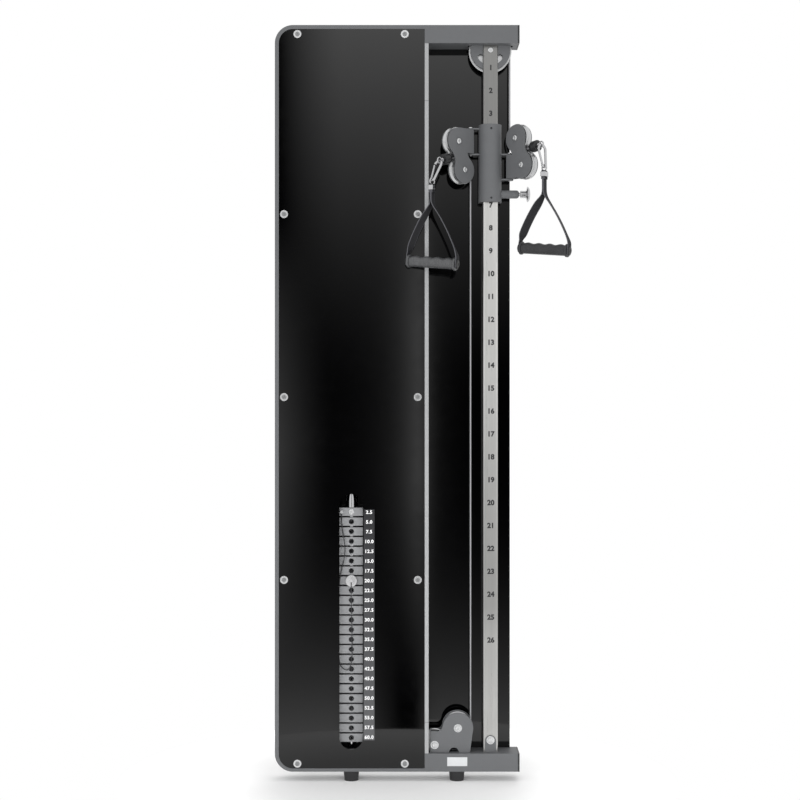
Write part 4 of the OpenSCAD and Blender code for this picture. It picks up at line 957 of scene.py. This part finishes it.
def socket_head(seat, axis, head_radius, head_height, washer_radius=0.0, washer_height=0.0,
                across=0.0026):
    """Parts of a round screw head with a hexagon socket, on a washer where that has a radius."""
    crown, depth, rounding, flats = 0.4 * head_height, 0.6 * head_height, 1.3, 0.93
    shoulder = washer_height + (head_height - crown)
    top = washer_height + head_height
    edge = 0.25 * washer_height
    profile = [(0.0, 0.0), (head_radius, 0.0)]
    if washer_radius:
        profile = [(0.0, 0.0), (washer_radius, 0.0), (washer_radius, washer_height - edge),
                   (washer_radius - edge, washer_height)]
    profile += [(head_radius, washer_height), (head_radius, shoulder)]
    steps = 5
    for i in range(1, steps + 1):
        a = math.radians(90 * i / steps)
        inward = crown * rounding * (1 - math.cos(a))
        profile.append((head_radius - inward, shoulder + crown * math.sin(a)))
    hole_top = 1.15 * across
    profile += [(hole_top, top), (across, top - 0.0003), (across, top - depth), (0.0, top - depth)]

    def radius_at(angle, radius, height):
        """Six flats within the hole, and a round head outside it."""
        if radius > hole_top + 1e-6:
            return radius
        return radius / max(math.cos((angle % (math.pi / 3)) - math.pi / 6), 0.5) * flats

    return lathe_parts(profile, seat, axis, radius_at=radius_at)


class WEIGHTSTACK_OT_fasteners(bpy.types.Operator):
    """Makes the cover's screws, the swivels' bolts, the bracket bolts and the sleeve's screws"""

    bl_idname = "weight_stack.fasteners"
    bl_label = "Fasteners"

    def execute(self, context):
        self.cover_screws()
        for side in SIDES:
            self.swivel_bolts(side)
        self.bracket_caps()
        self.sleeve_screws()
        return {"FINISHED"}

    def cover_screws(self):
        """Grey heads with their shanks, and bright washers."""
        front_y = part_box("cover_panel")[0].y
        shank, outer, thick, chamfer = 0.003, 0.012, 0.0016, 0.0004
        bore = shank + 0.0003
        ring = [(bore, 0), (outer, 0), (outer, thick - chamfer), (outer - chamfer, thick), (bore, thick)]
        shank_length = 0.016 + thick
        heads, washers = [], []
        for x, z, _, _ in loose_bolts(frame["nodes"]["cover_screws"]):
            seat = Vector((x, front_y, z))
            under_head = seat + TO_FRONT * thick
            washers.append(lathe_parts(ring, seat, TO_FRONT, closed=True))
            heads += [socket_head(under_head, TO_FRONT, head_radius=0.0068, head_height=0.0034),
                      rod_parts(shank, 0, shank_length, under_head, -TO_FRONT)]
        dressed("cover_screw_set", heads, "grey_steel", "frame", ["cover_screws"])
        dressed("cover_washer_set", washers, "zinc", "frame")

    def swivel_bolts(self, side):
        """Bolts through both pulleys, with a head on each side and two spacers within."""
        axis = joint_axis(f"{side}_upper_wheel_turn")
        half, bolt_radius = 0.0150, 0.005
        inner, outer, spacer_start, spacer_end = 0.0051, 0.01294, 0.0015, 0.0113
        parts = []
        for wheel in ("upper", "lower"):
            middle = joint_place(f"{side}_{wheel}_wheel_turn")
            parts += [socket_head(middle + way * half, way, 0.0088, 0.0056, across=0.0032)
                      for way in (axis, -axis)]
            parts.append(rod_parts(bolt_radius, -half, half, middle, axis))
            for low, high in ((-spacer_end, -spacer_start), (spacer_start, spacer_end)):
                ring = [(inner, low), (outer, low), (outer, high), (inner, high)]
                parts.append(lathe_parts(ring, middle, axis, closed=True))
        dressed(f"{side}_swivel_bolt_set", parts, "zinc", f"{side}_swivel",
                [f"{side}_swivel_bolts"])

    def bracket_caps(self):
        """Bolts of the brackets and the column, with round heads where they are seen."""
        bolt_radius, head_space = 0.005, 0.006
        beam_z, base_z, bay_x, washer_size = 2.18, 0.3, 0.1, (0.0125, 0.0006)
        parts = []
        for x, z, y0, y1 in sorted(loose_bolts(frame["nodes"]["bracket_bolts"])):
            front, back = Vector((x, y0 + head_space, z)), Vector((x, y1 - head_space, z))
            parts.append(rod_parts(bolt_radius, 0, y1 - y0 - 2 * head_space, front, -TO_FRONT))
            if z < beam_z or x > bay_x:
                washer = washer_size if z < base_z else ()
                parts += [socket_head(seat, way, 0.0086, 0.0054, *washer, across=0.0034)
                          for seat, way in ((front, TO_FRONT), (back, -TO_FRONT))]
        dressed("bracket_bolt_set", parts, "zinc", "frame", ["bracket_bolts"])

    def sleeve_screws(self):
        """Two small flat screws in the sleeve's front."""
        low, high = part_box("sleeve")
        column = node_middle("column")
        sleeve_reach, sunk, off_middle, from_top, from_foot = 0.035, 0.0006, 0.002, 0.014, 0.012
        x, y = column.x + off_middle, column.y - sleeve_reach + sunk
        parts = [socket_head(Vector((x, y, z)), TO_FRONT, 0.0032, 0.0014, across=0.0014)
                 for z in (high.z - from_top, low.z + from_foot)]
        dressed("sleeve_screw_set", parts, "dark_steel", "carriage")


def loose_groups(node):
    """The corners of each separate shell of a node."""
    made = bmesh.new()
    made.from_mesh(node.data)
    bmesh.ops.remove_doubles(made, verts=made.verts, dist=1e-6)
    made.verts.ensure_lookup_table()
    seen, groups = set(), []
    for vertex in made.verts:
        if vertex.index in seen:
            continue
        stack, group = [vertex], []
        seen.add(vertex.index)
        while stack:
            one = stack.pop()
            group.append(one.co.copy())
            for edge in one.link_edges:
                other = edge.other_vert(one)
                if other.index not in seen:
                    seen.add(other.index)
                    stack.append(other)
        groups.append(group)
    made.free()
    return groups


def loose_bolts(node):
    """Middle across and up, and both ends along the depth, of each bolt."""
    found = {}
    for group in loose_groups(node):
        xs, ys, zs = zip(*group)
        place = (round((min(xs) + max(xs)) / 2, 4), round((min(zs) + max(zs)) / 2, 4))
        low, high = found.get(place, (9.0, -9.0))
        found[place] = (min(low, min(ys)), max(high, max(ys)))
    return [(*place, *ends) for place, ends in found.items()]


class WEIGHTSTACK_OT_numbers(bpy.types.Operator):
    """Prints the index numbers on the column and the weights beside the slot"""

    bl_idname = "weight_stack.numbers"
    bl_label = "Numbers"

    def execute(self, context):
        self.size = settings("stack")
        self.ink = 0.00014
        self.index_numbers()
        self.weights()
        self.label()
        return {"FINISHED"}

    def index_numbers(self):
        off_middle, first_z, pitch, count = 0.001, 2.1755, 0.070, 26
        x = node_middle("column").x + off_middle
        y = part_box("column")[0].y - self.ink / 2
        lines = [(str(n + 1), Vector((x, y, first_z - n * pitch))) for n in range(count)]
        index = printed_text("column_numbers", lines, self.size.index_digit_height, self.ink,
                             boldness=0.0010)
        dress(index, "dark_print", "frame")

    def weights(self):
        """One number for each plate on the film beside the slot, a little closer than the plates."""
        x, collar, print_pitch, margin = -0.0855, 0.0047, 0.02974, 0.0088
        cover_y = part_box("cover_panel")[0].y
        film_y = cover_y - self.size.film_front
        base_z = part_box("parked_plates")[0].z + collar
        top_z = base_z + PLATE_HEIGHT / 2 + (PLATE_COUNT - 1) * PLATE_PITCH
        last_z = top_z - (PLATE_COUNT - 1) * print_pitch
        lines = [(f"{self.size.first_weight * (n + 1):.1f}",
                  Vector((x, film_y - self.ink / 2, top_z - n * print_pitch)))
                 for n in range(PLATE_COUNT)]
        weights = printed_text("weight_numbers", lines, self.size.digit_height, self.ink,
                               boldness=0.0005, spacing=1.13)
        dress(weights, "white_print", "frame")
        half = self.size.strip_width / 2
        corners = (x - half, film_y, last_z - margin), (x + half, cover_y, top_z + margin)
        film = flat_boxes("number_film", [corners], bevel=0.00015)
        dress(film, "film", "frame")

    def label(self):
        """A bare sticker on the base beam."""
        left, right, bottom, top, thickness = 0.152, 0.213, 0.047, 0.074, 0.0004
        base_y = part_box("base_frame")[0].y
        corners = (left, base_y - thickness, bottom), (right, base_y, top)
        label = flat_boxes("bare_label", [corners], bevel=0.00018)
        dress(label, "bare_label", "frame")


class WEIGHTSTACK_OT_trim(bpy.types.Operator):
    """Makes the pale strip on the divider's front edge"""

    bl_idname = "weight_stack.trim"
    bl_label = "Divider Trim"

    def execute(self, context):
        low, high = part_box("divider_panel")
        thickness, gap, cover_gap = 0.0006, 0.0006, 0.0007
        x0, x1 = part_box("cover_panel")[1].x + cover_gap, high.x
        joints_z = [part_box("base_frame")[0].z + BEAM_HEIGHT, low.z, high.z,
                    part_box("top_frame")[1].z - BEAM_HEIGHT]
        boxes = [((x0, low.y - thickness, z0 + gap), (x1, low.y, z1 - gap))
                 for z0, z1 in zip(joints_z, joints_z[1:])]
        dress(flat_boxes("divider_trim", boxes, bevel=0.0002), "pale_coat", "frame")
        return {"FINISHED"}


class WEIGHTSTACK_OT_selector(bpy.types.Operator):
    """Makes the selector pin, the eyes of the plates and the screws of the top plate"""

    bl_idname = "weight_stack.selector"
    bl_label = "Selector Pin"

    def execute(self, context):
        self.pin()
        self.plate_front = -0.027
        self.top_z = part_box("lifted_plates")[1].z - PLATE_HEIGHT / 2
        self.plate_eyes()
        self.top_screws()
        return {"FINISHED"}

    def pin(self):
        low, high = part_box("selector_pin")
        middle = (low + high) / 2
        length, knob_radius = high.y - low.y, (high.z - low.z) / 2
        boss, boss_radius, shank = 0.0034, 0.0035, 0.005
        front_edge, back_edge = 0.0024, 0.0016
        profile = [(0, 0), (0.0027, 0), (boss_radius, 0.0006), (boss_radius, boss),
                   (knob_radius * 0.78, boss + 0.0002)]
        profile += arc((knob_radius - front_edge, boss + 0.0026), front_edge, -75, 0, 5)
        profile += arc((knob_radius - back_edge, boss + 0.0104), back_edge, 0, 90, 4)
        profile += [(0.0075, boss + 0.012), (0.0058, boss + 0.0126), (shank, boss + 0.0135),
                    (shank, length - 0.0016), (0.0038, length), (0, length)]
        pin = lathe("selector_knob_pin", profile, (middle.x, low.y, middle.z), -TO_FRONT, segments=64)
        dress(pin, "turned", "pin", ["selector_pin"])

    def plate_eyes(self):
        """A dark rim round the hole of each plate below the top one."""
        parked_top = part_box("parked_plates")[1].z
        rim = [(0.0052, 0.0), (0.0074, 0.0), (0.0078, 0.0004), (0.0074, 0.0007), (0.0056, 0.0004)]
        parked, lifted = [], []
        for n in range(1, PLATE_COUNT):
            z = self.top_z - n * PLATE_PITCH
            eyes = parked if z < parked_top else lifted
            eyes.append(lathe_parts(rim, (STEM_X, self.plate_front, z), TO_FRONT, segments=40,
                                    closed=True))
        dressed("parked_plate_eyes", parked, "dark_steel", "frame")
        dressed("lifted_plate_eyes", lifted, "dark_steel", "lifted_stack")

    def top_screws(self):
        """The screw that holds the lanyard, and the top plate's bolt."""
        for name, x, y, radius, height, across in (
                ("lanyard_screw_cap", LANYARD_X, self.plate_front - 0.0050, 0.0050, 0.0012, 0.0018),
                ("top_plate_bolt", STEM_X, self.plate_front + 0.0012, 0.0088, 0.0030, 0.0038)):
            head = socket_head((x, y, self.top_z), TO_FRONT, radius, height, across=across)
            dressed(name, [head], "zinc", "lifted_stack")


class WEIGHTSTACK_OT_plunger(bpy.types.Operator):
    """Makes the index plunger with its ribbed neck and mushroom knob"""

    bl_idname = "weight_stack.plunger"
    bl_label = "Index Plunger"

    def execute(self, context):
        low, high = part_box("index_plunger")
        middle = (low + high) / 2
        length = high.x - low.x
        cup_depth = 0.0045
        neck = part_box("plunger_barrel")[1].x + cup_depth - low.x
        cup, shank, neck_radius, knob_radius = 0.0109, 0.0057, 0.0115, (high.z - low.z) / 2
        # The cup is wider at its mouth, so that it clears the barrel's nose
        mouth, clearance = 0.001, 0.0004
        profile = [(0, 0), (shank - 0.0006, 0), (shank, 0.0008), (shank, neck + cup_depth),
                   (cup, neck + cup_depth), (cup, neck + mouth), (cup + clearance, neck),
                   (neck_radius, neck)]
        ribs, groove, rib = 3, 0.0009, 0.0030
        at = neck + 0.0052
        for _ in range(ribs):
            profile += [(neck_radius, at), (neck_radius - groove, at + 0.0005),
                        (neck_radius - groove, at + 0.0012), (neck_radius, at + 0.0017)]
            at += rib
        disc = length - 0.0105
        profile += [(neck_radius, disc - 0.004), (neck_radius + 0.0015, disc - 0.0022),
                    (knob_radius * 0.72, disc - 0.0012), (knob_radius * 0.93, disc + 0.0002),
                    (knob_radius, disc + 0.0014), (knob_radius, disc + 0.0026),
                    (knob_radius * 0.95, disc + 0.0040)]
        steps = 6
        for i in range(1, steps):
            a = math.radians(15 + 75 * i / steps)
            profile.append((knob_radius * 0.93 * math.cos(a), disc + 0.0035 + 0.007 * math.sin(a)))
        profile.append((0, length))
        plunger = lathe("plunger_knob", profile, (low.x, middle.y, middle.z), (1, 0, 0), segments=64)
        dress(plunger, "chrome", "plunger", ["index_plunger"])
        return {"FINISHED"}


def ring_parts(centre, first, second):
    """A ring of wire, round or oval. first and second are its two radii as vectors."""
    steps, wire = 40, 0.0046
    turns = [2 * math.pi * k / steps for k in range(steps)]
    points = [centre + first * math.cos(a) + second * math.sin(a) for a in turns]
    return tube_parts(points, wire, 14, closed=True)


class WEIGHTSTACK_OT_stoppers(bpy.types.Operator):
    """Makes the stoppers with their eye rings"""

    bl_idname = "weight_stack.stoppers"
    bl_label = "Stoppers"

    def execute(self, context):
        eye_out, length, radius, rim = 0.013, 0.033, 0.0170, 0.0020
        ring_radius = 0.0085
        profile = [(0, 0.0005), (0.0028, 0.0005), (0.0085, 0.0006), (0.0100, 0.0016),
                   (0.0135, 0.0058), (0.0162, 0.0104), (radius, 0.0130)]
        for z in (0.0165, 0.0215, 0.0265):
            profile += [(radius, z), (0.0163, z + 0.0006), (0.0163, z + 0.0012), (radius, z + 0.0018)]
        profile += arc((0.0150, length - rim), rim, 0, 90, 4) + [(0.0062, length), (0, length)]
        neck_end = length + eye_out - ring_radius
        collar = [(0, length), (0.0060, length), (0.0060, length + 0.0022), (0.0040, length + 0.0034),
                  (0.0040, neck_end), (0, neck_end)]
        for side in SIDES:
            eye = joint_place(f"{side}_hook_swing")
            way = joint_axis(f"{side}_pull")
            start = eye - way * (eye_out + length)
            body = lathe(f"{side}_stopper_body", profile, start, way, segments=64)
            dress(body, "gloss_rubber", f"{side}_pull_end", [f"{side}_stopper"])
            aside = joint_axis(f"{side}_upper_wheel_turn").cross(way)
            ring = ring_parts(eye, way * ring_radius, aside * ring_radius)
            dressed(f"{side}_eye_ring", [lathe_parts(collar, start, way, segments=32), ring], "chrome",
                    f"{side}_pull_end")
        return {"FINISHED"}


class WEIGHTSTACK_OT_handles(bpy.types.Operator):
    """Makes the handles: ring, webbing with its seams, core and ribbed grip"""

    bl_idname = "weight_stack.handles"
    bl_label = "Handles"

    def execute(self, context):
        for side in SIDES:
            self.place(side)
            self.straps()
            self.fold()
            self.core()
            self.ring()
            self.clip()
            self.grip()
            self.seams()
        return {"FINISHED"}

    def place(self, side):
        """Takes one handle's places and directions from its joints."""
        past_grip, ring_drop = 0.0020, 0.0145
        self.side, self.size = side, settings("handles")
        self.pivot = joint_place(f"{side}_handle_swing")
        self.middle = joint_place(f"{side}_grip_turn")
        self.along = joint_axis(f"{side}_grip_turn")
        self.flat = Vector((self.along.x, self.along.y, 0)).normalized()
        self.across = UP.cross(self.flat)
        self.above = self.across.cross(self.along) * -1
        if self.above.z < 0:
            self.above = -self.above
        self.end = self.size.grip_length / 2 + past_grip
        self.tab_top = self.pivot - UP * ring_drop

    def add(self, name, parts, finish, slot="webbing", body="handle", instead_of=()):
        """One of this handle's pieces, on one of its bodies."""
        dressed(f"{self.side}_{name}", parts, finish, f"{self.side}_{body}", instead_of)

    def straps(self):
        """Two legs of webbing, from the seam under the ring to the grip's ends."""
        left = self.side == "left"
        part_at = self.pivot - UP * (0.070 if left else 0.083)
        near_twist, far_twist = (30, -14) if left else (58, -8)
        layer, off_middle = self.size.strap_thickness, 0.55
        knee_height, foot_drop, bulge = 0.024, 0.013, 0.006
        twist_in, twist_out = 0.25, 0.16
        upper, leg, lower = 8, 22, 8
        for way, twist, name in ((-1, near_twist, "near"), (1, far_twist, "far")):
            aside = self.flat * way * layer * off_middle
            top, start = self.tab_top + aside, part_at + aside
            foot = self.middle + self.along * way * self.end
            knee = foot + self.above * knee_height
            out = (knee - start).normalized()
            points = [top.lerp(start, i / upper) for i in range(upper)]
            widths = [self.across] * upper
            for i in range(leg):
                t = i / leg
                points.append(start.lerp(knee, t) + self.flat * way * (bulge * math.sin(math.pi * t)))
                angle = math.radians(twist) * min(t / twist_in, (1 - t) / twist_out, 1.0)
                widths.append(Matrix.Rotation(angle, 3, out) @ self.across)
            points += [knee.lerp(foot - self.above * foot_drop, i / lower) for i in range(lower + 1)]
            widths += [self.across] * (lower + 1)
            band = ribbon(f"{self.side}_strap_{name}", self.relaxed(points), widths,
                          self.size.strap_width, layer)
            dress(band, "webbing", f"{self.side}_handle",
                  [f"{self.side}_strap"] if name == "near" else ())

    def relaxed(self, points):
        """Rounds the corners of a line of points."""
        for _ in range(3):
            inner = [(before + point * 2 + after) / 4
                     for before, point, after in zip(points, points[1:], points[2:])]
            points = [points[0]] + inner + [points[-1]]
        return points

    def fold(self):
        """The fold of webbing through the ring."""
        layer, steps, layers_apart = self.size.strap_thickness, 14, 1.62
        half, rise, drops = self.flat * (layer * layers_apart), UP * 0.0042, (0.022, 0.010)
        points = [self.tab_top - UP * drop - half for drop in drops]
        for i in range(steps + 1):
            a = math.pi - math.pi * i / steps
            points.append(self.tab_top + half * math.cos(a) + rise * math.sin(a))
        points += [self.tab_top - UP * drop + half for drop in reversed(drops)]
        loop = ribbon(f"{self.side}_strap_fold", points, [self.across] * len(points),
                      self.size.strap_width * 0.98, layer)
        dress(loop, "webbing", f"{self.side}_handle")

    def core(self):
        """The rod through the grip with a round cap on each end."""
        end, radius, edge, chamfer, cap_gap = self.end, 0.0100, 0.0092, 0.001, 0.0014
        rod = [(0, -end - chamfer), (edge, -end - chamfer), (radius, -end), (radius, end),
               (edge, end + chamfer), (0, end + chamfer)]
        cap = [(0, 0), (0.0120, 0), (0.0126, 0.0008), (0.0124, 0.0022), (0.0105, 0.0031),
               (0.0045, 0.0034), (0.0038, 0.0022), (0, 0.0022)]
        parts = [lathe_parts(rod, self.middle, self.along)]
        for way in (-1, 1):
            seat = self.middle + self.along * way * (end + cap_gap)
            parts.append(lathe_parts(cap, seat, self.along * way))
        self.add("handle_core", parts, "rubber")

    def ring(self):
        """An oval ring in the swivel's plane."""
        drop, half_width, half_height = 0.0026, 0.0090, 0.0092
        flat = joint_axis(f"{self.side}_upper_wheel_turn").cross(UP)
        ring = ring_parts(self.pivot - UP * drop, flat * half_width, UP * half_height)
        self.add("handle_ring", [ring], "chrome", "chrome")

    def clip(self):
        """A pressed metal clip that closes the webbing under the ring."""
        half_w, half_t = self.size.strap_width / 2 + 0.0016, self.size.strap_thickness * 2.9
        top, height, wall, corner, pressed = self.pivot - UP * 0.0150, 0.0135, 0.0011, 0.0020, 0.0004
        outline = []
        for sx, sy, start in ((1, 1, 0), (-1, 1, 90), (-1, -1, 180), (1, -1, 270)):
            centre = (sx * (half_w - corner), sy * (half_t - corner))
            outline += arc(centre, corner, start, start + 90, 4)
        rows = ((0.0, 0.0), (0.0006, -pressed), (height - 0.0006, -pressed), (height, 0.0),
                (height, -wall), (0.0, -wall))
        vertices = []
        for drop, grow in rows:
            wider = 1 + grow / half_w
            thicker = 1 + (grow + (pressed if grow > -wall else 0.0)) / half_t
            vertices += [top - UP * drop + self.across * x * wider + self.flat * y * thicker
                         for x, y in outline]
        faces = swept_faces(len(rows), len(outline), closed=True)
        self.add("strap_clip", [(vertices, faces)], "chrome", "chrome")

    def grip(self):
        """A rubber grip with a flange at each end, finger hollows and fine ribs."""
        half = self.size.grip_length / 2
        flange, flange_radius, bore, chamfer = 0.0070, 0.0200, 0.0105, 0.0012
        finger_depth, rib, rib_depth = 0.0016, 0.0046, 0.00035
        body_start, body_end = -half + flange + 0.0004, half - flange - 0.0004
        steps = 132
        rows = [(bore, -half), (flange_radius - chamfer, -half), (flange_radius, -half + chamfer),
                (flange_radius, -half + flange - 0.0014), (flange_radius - chamfer, -half + flange)]
        rows += [(self.size.grip_radius, body_start + (body_end - body_start) * i / steps)
                 for i in range(steps + 1)]
        rows += [(flange_radius - chamfer, half - flange), (flange_radius, half - flange + 0.0014),
                 (flange_radius, half - chamfer), (flange_radius - chamfer, half), (bore, half)]
        wave = (body_end - body_start) / self.size.grip_waves

        def radius_at(angle, radius, height):
            """The hollows lie on the upper side, and the ribs all round."""
            if not body_start - 1e-9 <= height <= body_end + 1e-9 or radius < bore + 0.001:
                return radius
            top = max(math.cos(angle), 0.0) ** 1.5
            finger = -math.cos(2 * math.pi * (height - body_start) / wave) * finger_depth * top
            ribbing = rib_depth * math.cos(2 * math.pi * height / rib) * (0.4 + 0.6 * (1 - top))
            return radius + finger + ribbing - 0.0004

        parts = lathe_parts(rows, self.middle, self.along, segments=64, radius_at=radius_at,
                            start=self.above, closed=True)
        # The left grip gets the rubber with painted sheen
        self.add("grip_body", [parts], "sheen_painted_grip" if self.side == "left" else "grip",
                 "grip_rubber", "handle_grip", [f"{self.side}_grip"])

    def seams(self):
        """Two rows of seam at both ends of the tab, on both faces."""
        layer, pitch, thread = self.size.strap_thickness, 0.0024, 0.0007
        half_stitch = self.across * 0.0009
        parts = []
        for face in (-1, 1):
            for drop, layers in ((0.030, 2.25), (0.034, 2.25), (0.070, 1.12), (0.074, 1.12)):
                row = self.pivot - UP * drop + self.flat * face * (layer * layers)
                for k in range(-4, 5):
                    stitch = row + self.across * k * pitch
                    parts.append(tube_parts([stitch - half_stitch, stitch + half_stitch], thread, 6))
        self.add("strap_seams", parts, "lanyard")


OPERATORS = (
    WEIGHTSTACK_OT_finishes, WEIGHTSTACK_OT_stage, WEIGHTSTACK_OT_lanyard, WEIGHTSTACK_OT_cables,
    WEIGHTSTACK_OT_trim, WEIGHTSTACK_OT_fasteners, WEIGHTSTACK_OT_numbers, WEIGHTSTACK_OT_selector,
    WEIGHTSTACK_OT_plunger, WEIGHTSTACK_OT_stoppers, WEIGHTSTACK_OT_handles,
)
SETTINGS = {
    "stack": StackSettings, "cables": CableSettings, "handles": HandleSettings, "finish": FinishSettings,
}


class WEIGHTSTACK_PT_panel(bpy.types.Panel):
    """Lists the steps and their settings"""

    bl_idname = "WEIGHTSTACK_PT_panel"
    bl_label = "Weight Stack"
    bl_space_type = "VIEW_3D"
    bl_region_type = "UI"
    bl_category = "Weight Stack"

    def draw(self, context):
        for operator in OPERATORS:
            self.layout.operator(operator.bl_idname)
        for name, group in SETTINGS.items():
            box = self.layout.box()
            for label in group.__annotations__:
                box.prop(settings(name), label)


def register():
    for name, group in SETTINGS.items():
        bpy.utils.register_class(group)
        setattr(bpy.types.Scene, "weight_stack_" + name, PointerProperty(type=group))
    for operator in OPERATORS:
        bpy.utils.register_class(operator)
    bpy.utils.register_class(WEIGHTSTACK_PT_panel)


def unregister():
    bpy.utils.unregister_class(WEIGHTSTACK_PT_panel)
    for operator in reversed(OPERATORS):
        bpy.utils.unregister_class(operator)
    for name, group in SETTINGS.items():
        delattr(bpy.types.Scene, "weight_stack_" + name)
        bpy.utils.unregister_class(group)


def main():
    register()
    for operator in OPERATORS:
        group, name = operator.bl_idname.split(".")
        getattr(getattr(bpy.ops, group), name)()


if __name__ == "__main__":
    main()
